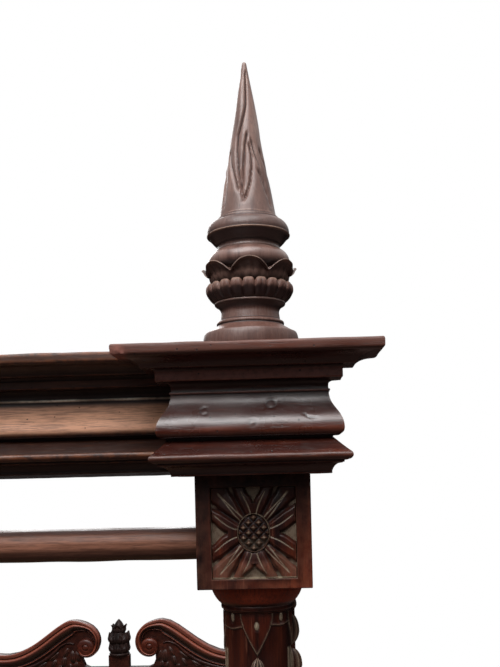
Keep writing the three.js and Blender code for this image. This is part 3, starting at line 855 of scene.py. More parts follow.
def show(
    bm: BMesh,
    name: str,
    finish: Material,
    slot: str,
    body: str = "bedstead",
    stands_for: Sequence[str] = (),
    sharp: float = 38.0,
    reach: float = 3.0,
) -> None:
    """Makes a finished piece from a shape in millimetres, which is used up.

    Args:
        bm: the shape.
        name: the piece's name.
        finish: its material.
        slot: a slot name for that finish; it is not used.
        body: the body that it rides on.
        stands_for: the frame's nodes that it replaces.
        sharp: the angle in degrees from which an edge looks sharp.
        reach: the size in millimetres of the details that wear shows on.
    """
    bmesh.ops.scale(bm, vec=(MM, MM, MM), verts=bm.verts[:])
    mesh = mesh_of(bm, name)
    mesh.polygons.foreach_set("use_smooth", [True] * len(mesh.polygons))
    mesh.set_sharp_from_angle(angle=math.radians(sharp))
    keep_flat(mesh)
    write_wear(mesh, reach)
    mesh.materials.append(finish)
    piece = placed(name, mesh)
    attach(piece, body)
    if stands_for:
        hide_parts(*stands_for)
    log.info("%s: %d triangles", name, sum(len(p.vertices) - 2 for p in mesh.polygons))


@dataclass(frozen=True)
class Corner:
    """One of the bed's four corners, by its end and side."""

    end: End
    side: Side

    @property
    def at(self) -> str:
        """The corner's name, as the frame's nodes have it."""
        return f"{self.end.name}_{self.side.name}".lower()

    @property
    def matrix(self) -> Matrix:
        """From the corner's own frame to the bed's, in millimetres.

        Returns:
            The matrix.
        """
        axis = middle_of_node(f"finial_{self.at}")
        away = Matrix.Diagonal((self.side.value, self.end.value, 1, 1))
        return Matrix.Translation((axis.x, axis.y, 0)) @ away


CORNERS = [Corner(end, side) for end in End for side in Side]


def for_corners(bm: BMesh) -> list[BMesh]:
    """Copies a shape in a corner's own frame to each of the corners.

    Args:
        bm: the shape, which is used up.

    Returns:
        The copies, in the order of the corners.
    """
    mesh = mesh_of(bm, "pattern")
    copies = []
    for corner in CORNERS:
        copy = bmesh.new()
        copy.from_mesh(mesh)
        copies.append(moved(copy, corner.matrix))
    bpy.data.meshes.remove(mesh)
    return copies


@dataclass
class Flower:
    """The carved flower in a sunk panel of a post's top block: twelve petals that fill it round a boss.

    Angles are folded, so that 0 is the nearest of the panel's axes. A pair of slender petals stands
    beside each axis, with a gap between their tips, and a broad one on each diagonal. The quarters
    are counted from the right, anticlockwise.
    """

    boss: Point = (20.4, 24.4)
    rim: float = 1.5
    petal_height: float = 5.8
    pyramid: float = 9.4
    pyramid_height: float = 5.2
    seams: tuple[Point, ...] = ((36.5, 37.7), (27.0, 27.0), (37.0, 34.0), (29.5, 27.5))
    gap_from: tuple[float, ...] = (33.5, 38.8, 33.5, 40.0)
    gap_half: tuple[float, ...] = (12.5, 9.5, 15.5, 14.0)
    gap_power: tuple[float, ...] = (0.85, 0.9, 0.85, 1.15)
    line_from: tuple[float, ...] = (14.5, 8.0, 12.5, 7.0)
    line_to: tuple[float, ...] = (24.5, 16.5, 25.5, 17.0)
    notch_from: float = 49.0
    low_petals: Point = (230.0, 310.0)
    broad_end: Point = (72.0, 66.0)
    tip: float = 58.0
    line: float = 0.5

    def petal(self, r: float, angle: float) -> tuple[float, float, float, bool]:
        """Where a place lies on its petal.

        Args:
            r: the distance from the flower's middle.
            angle: the direction in degrees, from the right, anticlockwise.

        Returns:
            The distance from the petal's edge (less than 0 beside it), the distance from the seam
            between two petals, the distance from the nearest cut line, and true on a slender petal.
        """
        quarter = round(angle / 90) % 4
        turned = (angle - 90 * quarter + 180) % 360 - 180
        folded, seam = abs(turned), self.seams[quarter][0 if turned > 0 else 1]
        notch = 2.0 * smooth(self.notch_from, self.tip + 2, r)
        beside = math.radians(abs(folded - seam)) * r
        if folded > seam:
            other = (quarter + (1 if turned > 0 else -1)) % 4
            middle = (seam + 90 - self.seams[other][1 if turned > 0 else 0]) / 2
            split = 2.5 - 2.1 * smooth(26, 68, r)
            return beside - notch, beside, abs(math.radians(abs(folded - middle)) * r - split), False
        opened = smooth(self.gap_from[quarter], self.tip, r) ** self.gap_power[quarter]
        inner = math.radians(folded - self.gap_half[quarter] * opened) * r
        if quarter == 3:
            notch = 1.8 * smooth(self.notch_from - 8, self.tip - 4, r)
        line_from, line_to = self.line_from[quarter], self.line_to[quarter]
        middle = line_from + (line_to - line_from) * smooth(20, self.tip + 4, r)
        edge = min(inner if opened > 0 else 9.0, beside - notch)
        return edge, beside, abs(math.radians(folded - middle)) * r, True

    def place(self, u: float, v: float) -> tuple[float, float, float]:
        """A place's distance from the middle, its direction, and its distance from the boss's edge.

        Args:
            u, v: the place, from the middle.

        Returns:
            The three values, with the direction in degrees.
        """
        r = math.hypot(u, v)
        stretch = math.hypot(u / self.boss[0], v / self.boss[1])
        return r, math.degrees(math.atan2(v, u)) % 360, r - r / max(stretch, 1e-6)

    def height(self, u: float, v: float) -> float:
        """How high the carving stands over the panel's ground.

        Args:
            u, v: the place, from the middle.

        Returns:
            The height in millimetres.
        """
        r, angle, beyond = self.place(u, v)
        if beyond < self.rim:
            return self.boss_height(u, v, beyond)
        edge, seam, line, slender = self.petal(r, angle)
        low = self.low_petals[0] < angle < self.low_petals[1]
        if edge < 0:
            return 0.0
        top = self.petal_height * (0.6 + 0.4 * math.sin(math.pi * min(1, beyond / 40) ** 0.8))
        if slender:
            top += (1.6 if low else 0.5) * smooth(36, 50, r)
        valley = (2.6 if not low else 3.2 * smooth(28, 40, r)) * smooth(5.0, 0.0, seam)
        lift = (top - valley) * (0.25 + 0.75 * smooth(-0.6, 5.0, edge) ** 0.7)
        tip = smooth(self.tip, 52, r) if slender else smooth(*self.broad_end, r)
        return lift - 0.9 * tip * smooth(0, 2, beyond) * bell(line / self.line)

    def boss_height(self, u: float, v: float, beyond: float) -> float:
        """The height of the boss, cut into small pyramids, with a thin ring round it.

        Args:
            u, v: the place, from the middle.
            beyond: the distance from the boss's edge, less than 0 inside it.

        Returns:
            The height in millimetres.
        """
        if beyond > -0.8:
            ring = 1 - abs((beyond - 0.35) / 1.15)
            return 2.4 + 3.4 * max(0.0, ring)
        dome = 1.5 + 3.2 * (1 - math.hypot(u / self.boss[0], v / self.boss[1]) ** 2)
        pyramid = self.pyramid_height * smooth(0.12, 1.0, self.facet(u, v)) ** 0.8
        return dome + 0.3 + pyramid * smooth(-0.8, -2.6, beyond)

    def facet(self, u: float, v: float) -> float:
        """How near a place is to the top of its small pyramid, 0 in the gaps to 1."""
        sides = ((u + v) / math.sqrt(2), (u - v) / math.sqrt(2))
        return min(1 - abs((side / self.pyramid) % 1 - 0.5) * 2 for side in sides)

    def dust(self, u: float, v: float) -> float:
        """How much pale dust lies at a place of the carving, with painted glints on the tops of the boss's
        small pyramids.

        Args:
            u, v: the place, from the middle.

        Returns:
            The share, 0 to 1.
        """
        r, angle, beyond = self.place(u, v)
        if beyond < self.rim:
            top = 0.34 * smooth(-1, -2, beyond) * smooth(0.35, 0.8, self.facet(u, v))
            return max(top, 0.5 * smooth(0.9, 0.2, abs(beyond - 0.4)) if v > -8 else 0.12)
        edge, seam, line, slender = self.petal(r, angle)
        if edge < 0:
            return 0.4 if seam > 3 else 0.3 * smooth(56, 64, r)
        tip = smooth(self.tip, 54, r) if slender else smooth(*self.broad_end, r)
        lined = 0.8 * tip * bell(line / (1.25 * self.line))
        return max(lined, 0.12 * smooth(34, 50, r) if 215 < angle < 325 else 0.0)

    def rubbed(self, u: float, v: float) -> float:
        """How much painted light the carving has at a place: the lower petals the most.

        Args:
            u, v: the place, from the middle.

        Returns:
            The share, 0 to 1.
        """
        r, angle, beyond = self.place(u, v)
        if beyond < self.rim or self.petal(r, angle)[0] < 0.5:
            return 0.0
        return 0.3 * smooth(34, 50, r) * band(angle, 200, 235, 305, 340)


@dataclass
class Husk:
    """A carved husk or leaf: a ribbed drop with a pinched neck."""

    length: float
    half: float
    proud: float
    ribs: int = 9
    pale: float = 0.36

    def drop(self) -> BMesh:
        """The husk hanging from the origin, its face towards +X.

        Returns:
            The closed mesh.
        """
        outline = Outline(0, -self.length, self.length / 14)
        outline.bend((self.half * 0.8, -self.length * 0.94), (self.half, -self.length * 0.62))
        outline.bend((self.half * 1.0, -self.length * 0.25), (self.half * 0.36, -self.length * 0.1)).to(0, 0)
        bm = turn(outline.points, 4 * self.ribs)
        dust = bm.verts.layers.float.new("dust")
        for v in bm.verts:
            # Pale dust and painted highlights along the crests of the ribs.
            rib = abs(math.cos(self.ribs * math.atan2(v.co.y, v.co.x) / 2))
            v[dust] = self.pale * smooth(0.5, 0.95, rib)
            dent = 1 - 0.28 * (1 - rib)
            spread(v, dent)
        return moved(bm, Matrix.Diagonal((self.proud / self.half, 1, 1, 1)))

    def shape(self, radius: float, top: float, angle: float) -> BMesh:
        """The husk on a shaft of a radius, its neck at a height, facing an angle in radians from +X."""
        return moved(self.drop(), Matrix.Rotation(angle, 4, "Z") @ Matrix.Translation((radius - 1.2, 0, top)))


@dataclass
class Post:
    """A post: turned foot and shaft, two square blocks, and carving at the top.

    Each husk has the height of its neck from the post's top, its length, its half width and how far
    it stands out.
    """

    width: float = 150.0
    height: float = 1900.0
    low_from: float = 250.0
    low_to: float = 560.0
    top_block: float = 148.0
    panel: Point = (111.0, 119.5)
    panel_rise: float = 13.0
    panel_depth: float = 8.5
    shaft: float = 45.0
    carved_from: float = 1600.0
    apron_proud: float = 1.9
    apron_high: float = -36.9
    apron_inside: float = 38.0
    foot_half: float = 18.9
    point_half: float = 22.0
    point_tip: float = -240.5
    apron_low: float = -203.5
    strip_at: float = 19.0
    grid: int = 150
    rim_width: float = 4.0
    outer_husks: Rows = (
        (-163, 27, 4.4, 10.4), (-187, 49, 8.6, 13.4), (-235, 46, 10.5, 16.4), (-281, 41, 9.6, 15.4),
        (-322, 38, 8.6, 14.0), (-361, 34, 7.4, 12.2), (-396, 28, 6.0, 10.0),
    )
    front_husks: Rows = (
        (-242, 46, 11.0, 12.5), (-288, 41, 9.8, 12.0), (-329, 37, 8.6, 11.0), (-367, 31, 7.0, 9.6),
    )
    flower: Flower = field(default_factory=Flower)

    def foot(self) -> BMesh:
        """The turned foot under the low block.

        Returns:
            The closed mesh.
        """
        t = Outline(0, 0, 12).to(38, 0).to(42, 3)
        t.step = 4
        t.up(49, 9).bead(20, 3.4).up(38, 8).curve(64, 88, 40, 0.55).curve(46, 76, 72, 0.6)
        t.up(57, 9).bead(22, 5).to(58, self.low_from).to(0, self.low_from)
        return turn(t.softened(1.0), 72)

    def column(self) -> BMesh:
        """The turned shaft between the blocks, up to where its carving starts.

        Returns:
            The closed mesh.
        """
        t = Outline(0, self.low_to, 20).to(64, self.low_to)
        t.step = 4
        t.bead(30, 5).up(48, 12).curve(66, 90, 70, 0.25).curve(44, 158, 62, 0.45)
        t.up(53, 11).bead(18, 4.2).up(44, 12).curve(54, 118, 56, 0.28).curve(44, 144, 52, 0.5)
        t.up(53, 11).bead(20, 4.2).up(41, 14).curve(self.shaft, 130, 42, 0.5)
        t.step = 16
        t.to(self.shaft, self.carved_from).to(0, self.carved_from)
        return turn(t.softened(1.0), 64)

    def capital(self) -> BMesh:
        """The carved top of the shaft: apron, ring and flared cap.

        Returns:
            The closed mesh.
        """
        top = self.height - self.top_block
        t = Outline(0, self.carved_from, 20).to(self.shaft, self.carved_from)
        t.step = 4.0
        t.to(self.shaft, self.height + self.point_tip - 8)
        t.step = 1.0
        t.to(self.shaft, top - 37).up(47.2, 1.2).up(47.4, 1.6).up(49.0, 0.8).bead(6.4, 0.8)
        t.up(50.6, 0.6).up(51.8, 1.2)
        t.bend((59.2, top - 18), (62.5, top - 7)).to(62.5, top + 1)
        t.step = 32
        t.to(0, top + 1)
        bm = turn(t.softened(0.5), 240)
        # Painted light on the flared cap, and a painted shadow just under the ring.
        marked(bm, "rubbed", lambda co: 0.85 * smooth(top - 25, top - 21, co.z))
        marked(bm, "stain_and_shade", lambda co: 0.7 * band(co.z, top - 43, top - 38, top - 37, top - 35))
        layer, bright = bm.verts.layers.float.new("dust"), bm.verts.layers.float["rubbed"]
        for v in bm.verts:
            height = v.co.z - self.height
            if height > self.apron_high - self.top_block or v.co.xy.length < self.apron_inside:
                continue
            out, v[layer], v[bright] = self.apron(math.atan2(v.co.y, v.co.x), height)
            swell = 1 + out / v.co.xy.length
            spread(v, swell)
        return bm

    def apron(self, angle: float, height: float) -> tuple[float, float, float]:
        """How the apron under the ring stands out of the shaft: a point on each side, and swags between.

        Args:
            angle: the direction from the axis, in radians.
            height: the height, from the top of the post.

        Returns:
            The distance in millimetres, the share of pale dirt, and the share of rubbed wood.
        """
        quarter = math.pi / 2
        aside = abs(self.shaft * ((angle + quarter / 2) % quarter - quarter / 2))
        farthest = self.shaft * quarter / 2
        hung = self.apron_low + 3 * math.cos(angle)
        drop = min(1.0, max(0.0, (self.apron_low - height) / (self.apron_low - self.point_tip)))
        half = self.foot_half * (1 - drop) ** 0.92
        if not drop:
            half += (self.point_half - self.foot_half) * smooth(0, 14, height - self.apron_low)
        beside = (half - aside) * 0.86
        pointed = beside > 0 or height < hung - 6
        swag = 1.2 * math.cos(math.pi * (aside - half) / (farthest - half))
        inside = beside if pointed else height - hung - swag
        out = self.apron_proud * smooth(-0.6, 0.8, inside)
        line = bell((inside - 0.9) / 0.65)
        out += 0.7 * bell((inside - 1.6) / 1.1)
        rubbed = 0.0
        if pointed:
            line *= 0.8 if height < self.apron_low + 8 else 0.5
            out += 0.5 * smooth(1, 12, inside)
            out -= 0.8 * bell(aside / 1.3) * smooth(3, 8, inside) * smooth(6, 10, abs(height + 201))
            rubbed = 0.14 * smooth(1, 5, inside) * smooth(1.5, 4, aside)
        dust = 0.6 * line
        for drop_at, drop_z, wide, tall in ((0.0, -201, 3.2, 6.0), (farthest, -191, 3.4, 6.6)):
            spot = math.hypot((aside - drop_at) / wide, (height - drop_z) / tall)
            out += 1.2 * smooth(0.9, 0.3, spot) - 0.9 * smooth(1.5, 1.15, spot)
            dust = max(dust, 0.8 * smooth(1.0, 0.7, spot))
        off_side = math.degrees(abs(math.atan2(math.sin(angle), abs(math.cos(angle)))))
        below = smooth(-233, -237, height)
        strip = smooth(9.5, 7.5, abs(off_side - self.strip_at)) * below
        ridge = bell((abs(off_side - self.strip_at) - 5.5) / 2) * below
        return out + 0.5 * strip + 1.0 * ridge, max(dust, 0.3 * strip + 0.5 * ridge), rubbed

    def chains(self) -> list[BMesh]:
        """The husks down the outer side, on a stem, and from under the apron's point down the end.

        Returns:
            A closed mesh for the stem and for each husk.
        """
        stem = turn(Outline(0, -250, 6).to(3.4, -250).to(3.4, 0).to(0, 0).points, 16)
        flat = Matrix.Translation((self.shaft - 1.2, 0, self.height - 150)) @ Matrix.Diagonal((2.2, 1, 1, 1))
        made = [moved(stem, flat)]
        for angle, husks in ((0, self.outer_husks), (math.pi / 2, self.front_husks)):
            for top, *sizes in husks:
                made.append(Husk(*sizes).shape(self.shaft, self.height + top, angle))
        return made

    def top(self) -> BMesh:
        """The top block with its two carved panels.

        Returns:
            The closed mesh.
        """
        half, low = self.width / 2, self.height - self.top_block
        bm = block((-half, -half, low), (half, half, self.height))
        panels = []
        for axis in SIDEWAYS:
            face = max(bm.faces, key=lambda f: f.normal.dot(axis))
            margin = (self.width - self.panel[0]) / 2
            inset_faces(bm, [face], margin)
            for v in face.verts:
                upper = v.co.z > low + self.top_block / 2
                v.co.z = low + self.panel_rise + (self.panel[1] if upper else 0)
            inset_faces(bm, [face], 0.3, -self.panel_depth)
            panels.append(face)
        edges = [e for e in bm.edges if e.calc_length() > 20 and e.calc_face_angle(0) > 0.5]
        edges = [e for e in edges if not set(panels) & set(e.link_faces)]
        bevelled(bm, edges, 1.1, 3)
        marked(bm, "dust", lambda co: 0.0)

        def rubbed(co: Vector) -> float:
            """How much lighter the block is at a place: on its outer corner, more towards its foot."""
            return 0.32 * smooth(self.height - 60, low, co.z) * smooth(70, 74, min(co.x, co.y))

        def stain_and_shade(co: Vector) -> float:
            """How dark the block is at a place: a painted shadow of the cornice along its top, and darker
            towards its inner sides.
            """
            cornice_shadow = 0.7 * smooth(self.height - 32, self.height - 16, co.z)
            return max(cornice_shadow, 0.45 * smooth(-60, -72, min(co.x, co.y)))

        marked(bm, "rubbed", rubbed)
        marked(bm, "stain_and_shade", stain_and_shade)
        for axis in SIDEWAYS:
            self.carve(bm, axis, low)
        return bm

    def carve(self, bm: BMesh, axis: Vector, low: float) -> None:
        """Cuts the flower in the panel that faces along axis.

        Args:
            bm: the block.
            axis: the panel's direction.
            low: the height of the block's underside.
        """
        depth = self.width / 2 - self.panel_depth

        def misfit(face: BMFace) -> float:
            """How far a face is from being the panel's floor."""
            return abs(face.calc_center_median().dot(axis) - depth) + 9 * (1 - face.normal.dot(axis))

        floor = min(bm.faces, key=misfit)
        bmesh.ops.subdivide_edges(bm, edges=floor.edges[:], cuts=self.grid, use_grid_fill=True)
        centre = low + self.panel_rise + self.panel[1] / 2
        layer, bright, stain_and_shade = (bm.verts.layers.float[name] for name in ("dust", "rubbed", "stain_and_shade"))
        across = Vector((0, 0, 1)).cross(axis)
        sign = -1 if axis.y else 1
        for v in bm.verts:
            if abs(v.co.dot(axis) - depth) > 1e-3:
                continue
            u, w = sign * v.co.dot(across), v.co.z - centre
            rim = min(self.panel[0] / 2 - abs(u), self.panel[1] / 2 - abs(w))
            if rim < -1e-3:
                continue
            ledge = 0.9 * smooth(2.6, 1.6, w + self.panel[1] / 2) + 0.6 * smooth(0.9, 0.3, rim)
            v[layer] = min(0.95, max(self.flower.dust(u, w), ledge))
            v[bright] = self.flower.rubbed(u, w)
            # Painted shade: the panel is darker in its upper half, which lies in the cornice's shadow, and in
            # the gaps between the boss's pyramids.
            gap = smooth(0.45, 0.15, self.flower.facet(u, w)) if self.flower.place(u, w)[2] < -1 else 0.0
            v[stain_and_shade] = max(0.45 * smooth(-10, 45, w), 0.8 * gap)
            v.co += axis * self.flower.height(u, w) * smooth(0.35, 1.2, rim)

    def base(self, node: str) -> BMesh:
        """The low block with its sunk panel and its holes, cut out of the frame's own post.

        Args:
            node: the name of the post's node.

        Returns:
            The closed mesh.
        """
        bm = merged_copy(node)
        for height, direction in ((self.low_from + 0.05, -1), (self.low_to - 0.05, 1)):
            sliced(bm, (0, 0, height), (0, 0, direction), drop=True)
        bmesh.ops.holes_fill(bm, edges=[e for e in bm.edges if e.is_boundary], sides=0)
        ease_edges(bm, 1.4, 30)
        middle = middle_of(bm)
        reach = self.width / 2 - self.rim_width
        for axis in SIDEWAYS:
            for inset in (-reach, reach):
                sliced(bm, middle + axis * inset, axis)
        return bm

    def build(self) -> None:
        """Makes the four posts."""
        turned = for_corners(joined([uneven(self.foot(), 0.5, 60), uneven(self.column(), 0.5, 70)]))
        carved = for_corners(joined([self.capital(), *self.chains()]))
        tops = for_corners(uneven(self.top(), 0.25, 40))
        wood = CARVED.material(Grain.Z)
        for corner, turning, shaft, top in zip(CORNERS, turned, carved, tops):
            node = f"post_{corner.at}"
            plain = joined([turning, self.base(node)])
            show(plain, f"turned_post_{corner.at}", wood, "carved_wood", stands_for=[node])
            show(shaft, f"carved_shaft_{corner.at}", wood, "carved_wood", reach=2.0)
            show(top, f"carved_block_{corner.at}", wood, "carved_wood", reach=1.6)


def middle_of(bm: BMesh) -> Vector:
    """The middle of the box round a shape."""
    sides = [[v.co[axis] for v in bm.verts] for axis in range(3)]
    return Vector([(min(side) + max(side)) / 2 for side in sides])


def merged_copy(node: str) -> BMesh:
    """A copy in millimetres of one of the frame's nodes, with its corners merged and its flats whole.

    Args:
        node: the node's name.

    Returns:
        The copy.
    """
    bm = bmesh.new()
    bm.from_mesh(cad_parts[node].data)
    bmesh.ops.scale(bm, vec=(1 / MM,) * 3, verts=bm.verts[:])
    bmesh.ops.remove_doubles(bm, verts=bm.verts[:], dist=0.01)
    bmesh.ops.dissolve_limit(bm, angle_limit=0.02, verts=bm.verts[:], edges=bm.edges[:])
    for layer in list(bm.loops.layers.uv):
        bm.loops.layers.uv.remove(layer)
    return bm


# A wide face has at least this area in square millimetres. Its rim is this wide.
WIDE = 900.0
RIM = 2.0


def ease_edges(bm: BMesh, ease: float, longer: float = 0.0, sharper: float = 0.6) -> BMesh:
    """Bevels the sharp edges of a shape, and rims its wide faces so that only their edges wear.

    Args:
        bm: the shape.
        ease: the bevel's width.
        longer: edges no longer than this stay as they are.
        sharper: the angle in radians from which an edge counts as sharp.

    Returns:
        The same shape.
    """
    edges = [
        e for e in bm.edges
        if len(e.link_faces) == 2 and e.calc_length() > longer and e.calc_face_angle(0) > sharper
    ]
    bevelled(bm, edges, ease, 2)
    wide = [f for f in bm.faces if f.calc_area() > WIDE and min(e.calc_length() for e in f.edges) > 3 * RIM]
    inset_faces(bm, wide, RIM)
    return bm


def petal_ring(outline: Outline, petals: int, steps: int, form: Placing) -> BMesh:
    """A ring of petals.

    Args:
        outline: a petal's section down its middle.
        petals: how many there are.
        steps: how many sides each has.
        form: gives a place's distance out and height from its own and its share across the petal, -1 to 1.

    Returns:
        The closed mesh.
    """
    bm = turn(outline.points, petals * steps)
    for v in bm.verts:
        radius = v.co.xy.length
        if radius < 5:
            continue
        share = 2 * ((math.degrees(math.atan2(v.co.x, v.co.y)) / 360 * petals + 0.45) % 1) - 1
        out, height = form(radius, v.co.z, share)
        spread(v, out / radius)
        v.co.z = height
    bmesh.ops.recalc_face_normals(bm, faces=bm.faces[:])
    return bm


@dataclass
class Finial:
    """A finial: base, neck, two rings of petals, shoulder, collar and a spike carved with flames.

    Each groove of a flame runs through points that have a share of the spike's height and a direction
    in degrees from the front.
    """

    base_at: float = 2061.0
    dowel: Point = (20.0, 58.0)
    collar: tuple[float, ...] = (168.0, 170.0, 188.0, 192.0)
    collar_edge: float = 167.8
    spike_from: float = 193.0
    spike_height: float = 216.0
    spike_radius: float = 39.0
    leaves: int = 7
    groove_depth: float = 2.6
    groove_half: float = 1.5
    flame: tuple[tuple[Point, ...], ...] = (
        (
            (0.951, 22), (0.823, 10), (0.707, 6), (0.604, -13), (0.501, -31), (0.411, -33), (0.308, -25),
            (0.16, -13), (0.07, -8),
        ),
        ((0.44, -72), (0.36, -62), (0.283, -44), (0.193, -27), (0.12, -18)),
        ((0.54, 9), (0.437, -2), (0.308, -7.5), (0.193, -10), (0.14, -12)),
        ((0.47, 10), (0.36, 19), (0.283, 18), (0.18, 10), (0.103, 0), (0.045, -10)),
        ((0.50, 18), (0.398, 29), (0.308, 42), (0.206, 53), (0.04, 60)),
        ((0.30, 30), (0.21, 44), (0.10, 56)),
    )

    def core(self) -> BMesh:
        """The turned parts under the spike.

        Returns:
            The closed mesh.
        """
        radius, length = self.dowel
        t = Outline(0, -length, 10).to(radius, -length).to(radius, 0)
        t.step = 2.0
        t.to(60, 0).to(62, 1).bead(33, 4).bend((57, 36), (46.5, 43))
        t.up(45.5, 1.5).bead(4.5, 1.2).up(41.5, 2).up(40, 10)
        t.bend((40, 68), (47.5, 72)).bead(4, 1.4).up(46, 2).to(46, 117).to(52, 120)
        t.bend((57, 125), (56, 134)).bend((54.5, 141), (47, 145.5)).up(44.5, 1)
        t.bend((41, 150), (44, 155)).up(46, 1)
        t.bend((49, 158.5), (54.5, 165.5)).to(57.2, 167).to(57.6, 168.2).to(56.2, 169)
        t.bend((57.6, 176), (53.5, 181.5))
        t.bend((50, 186), (43.5, 187.5)).to(43, 190.5).to(39.6, 191.5).to(39.4, self.spike_from + 2)
        t.step = 20
        t.to(0, self.spike_from + 2)
        bm = turn(t.softened(0.5), 96)

        def dust(co: Vector) -> float:
            """How much painted highlight the sharp edge of the collar has at a place."""
            return 0.8 * smooth(1.5, 0.8, abs(co.z - self.collar_edge)) * smooth(55.5, 56.5, co.xy.length)

        marked(bm, "rubbed", lambda co: 0.85 * smooth(76, 64, co.z) + 0.75 * band(co.z, *self.collar))
        marked(bm, "stain_and_shade", lambda co: 0.4 * band(co.z, *self.collar) + 0.25 * smooth(36, 30, co.z))
        marked(bm, "polish", lambda co: 0.45)
        return marked(bm, "dust", dust)

    def spike(self) -> BMesh:
        """The spike, with its flames cut in.

        Returns:
            The closed mesh.
        """
        top = self.spike_from + self.spike_height
        t = Outline(0, self.spike_from, 8).to(self.spike_radius, self.spike_from)
        t.step = 1.8
        t.to(3.2, top - 3).bend((2.6, top), (0, top))
        bm = turn(t.points, 120)
        for v in bm.verts:
            share = (v.co.z - self.spike_from) / self.spike_height
            radius = v.co.xy.length
            if not 0.01 < share < 0.985 or radius < 1:
                continue
            cut = self.cut(math.degrees(math.atan2(v.co.x, v.co.y)), share, radius)
            spread(v, 1 - cut / radius)

        def stain_and_shade(co: Vector) -> float:
            """How dark the spike is at a place."""
            return 0.26 * smooth(-0.1, 0.4, noise.noise(co / 38)) + 0.24 * smooth(2, 26, co.x)

        marked(bm, "stain_and_shade", stain_and_shade)
        return marked(bm, "polish", lambda co: 0.2)

    def cut(self, angle: float, share: float, radius: float) -> float:
        """How deep the flames are cut at a place of the spike.

        Args:
            angle: the direction in degrees, from the front.
            share: the share of the spike's height.
            radius: the spike's radius there.

        Returns:
            The depth in millimetres.
        """
        depth = 0.0
        for line in self.flame:
            heights = [h for h, _ in line]
            if not min(heights) - 0.02 < share < max(heights) + 0.02:
                continue
            middle = float(np.interp(share, heights[::-1], [a for _, a in line][::-1]))
            off = (angle - middle + 60) % 120 - 60
            aside = math.radians(off) * radius
            ends = smooth(-0.01, 0.035, share - min(heights)) * smooth(0, 0.06, max(heights) - share)
            depth += ends * self.groove_depth * bell(aside / self.groove_half)
            hollow = aside if aside > 0 else -2.2 * aside
            depth += ends * 1.3 * bell(hollow / 6)
        wave = 0.6 * math.sin(math.radians(3 * angle) + 9 * share)
        return min(depth, 0.6 * radius) + wave * band(share, 0.0, 0.3, 0.7, 1)

    def petals(self) -> list[BMesh]:
        """The lower ring of small grooved petals and the upper ring of waving leaves.

        Returns:
            The two closed rings.
        """
        low = Outline(0, 74, 8).to(44, 74)
        low.step = 1.5
        low.bend((56, 78), (59.6, 90)).bend((60.4, 97), (57, 100)).bend((53, 100), (50, 94))
        low.step = 20
        low.to(40, 92).to(0, 92)

        def small(out: float, height: float, share: float) -> Point:
            """The form of a small grooved petal.

            Args:
                out, height, share: as petal_ring() gives them.

            Returns:
                Its new distance out and height.
            """
            lip = smooth(78, 98, height) * smooth(46, 54, out)
            gap = abs(share) ** 5
            vein = bell(share / 0.13)
            out -= smooth(46, 55, out) * (3.4 * gap + 0.9 * vein * smooth(74, 92, height))
            return out + 0.8 * lip, height - 3.2 * lip * share**4 - 1.6 * lip * gap + 0.5 * lip * vein

        high = Outline(0, 97, 8).to(46, 97)
        high.step = 1.5
        high.bend((53, 100), (54.5, 109)).bend((56, 118), (66, 123.5)).bend((66.5, 126), (62, 124))
        high.bend((56, 119), (52, 113))
        high.step = 20
        high.to(40, 111).to(0, 111)

        def large(out: float, height: float, share: float) -> Point:
            """The form of a leaf with a waving edge.

            Args:
                out, height, share: as petal_ring() gives them.

            Returns:
                Its new distance out and height.
            """
            lip = smooth(104, 124, height) * smooth(50, 64, out)
            side = abs(share)
            fold = side**2.4
            ripple = 0.9 * math.cos(4.5 * math.pi * share) * smooth(50, 56, out)
            out -= 5.5 * fold * lip + 2.6 * side**8 * smooth(50, 56, out) - ripple * (1 - 0.5 * lip)
            return out, height - 13.5 * fold * lip + 1.4 * lip * math.cos(math.pi * share)

        lower = petal_ring(low, 3 * self.leaves, 10, small)
        marked(lower, "rubbed", lambda co: 0.6 * smooth(84, 93, co.z))
        marked(lower, "dust", lambda co: 0.45 * smooth(95.5, 98.5, co.z) * smooth(53, 56, co.xy.length))
        upper = petal_ring(high, self.leaves, 28, large)
        marked(upper, "dust", lambda co: 0.12 + 0.28 * smooth(120, 123, co.z) * smooth(61, 64, co.xy.length))
        marked(upper, "stain_and_shade", lambda co: 0.0)
        stain_and_shade = upper.verts.layers.float["stain_and_shade"]
        # The leaves are darker where they face upwards.
        upper.normal_update()
        for v in upper.verts:
            v[stain_and_shade] = 0.95 * smooth(0.25, 0.7, v.normal.z)
        return [lower, upper]

    def build(self) -> None:
        """Makes the four finials."""
        whole = joined([uneven(self.core(), 0.5, 25), self.spike(), *self.petals()])
        wood = TURNED.material(Grain.Z)
        for corner, bm in zip(CORNERS, for_corners(moved(whole, Matrix.Translation((0, 0, self.base_at))))):
            body = f"finial_{corner.at}"
            show(bm, f"carved_{body}", wood, "weathered_wood", body, [body], reach=2.0)


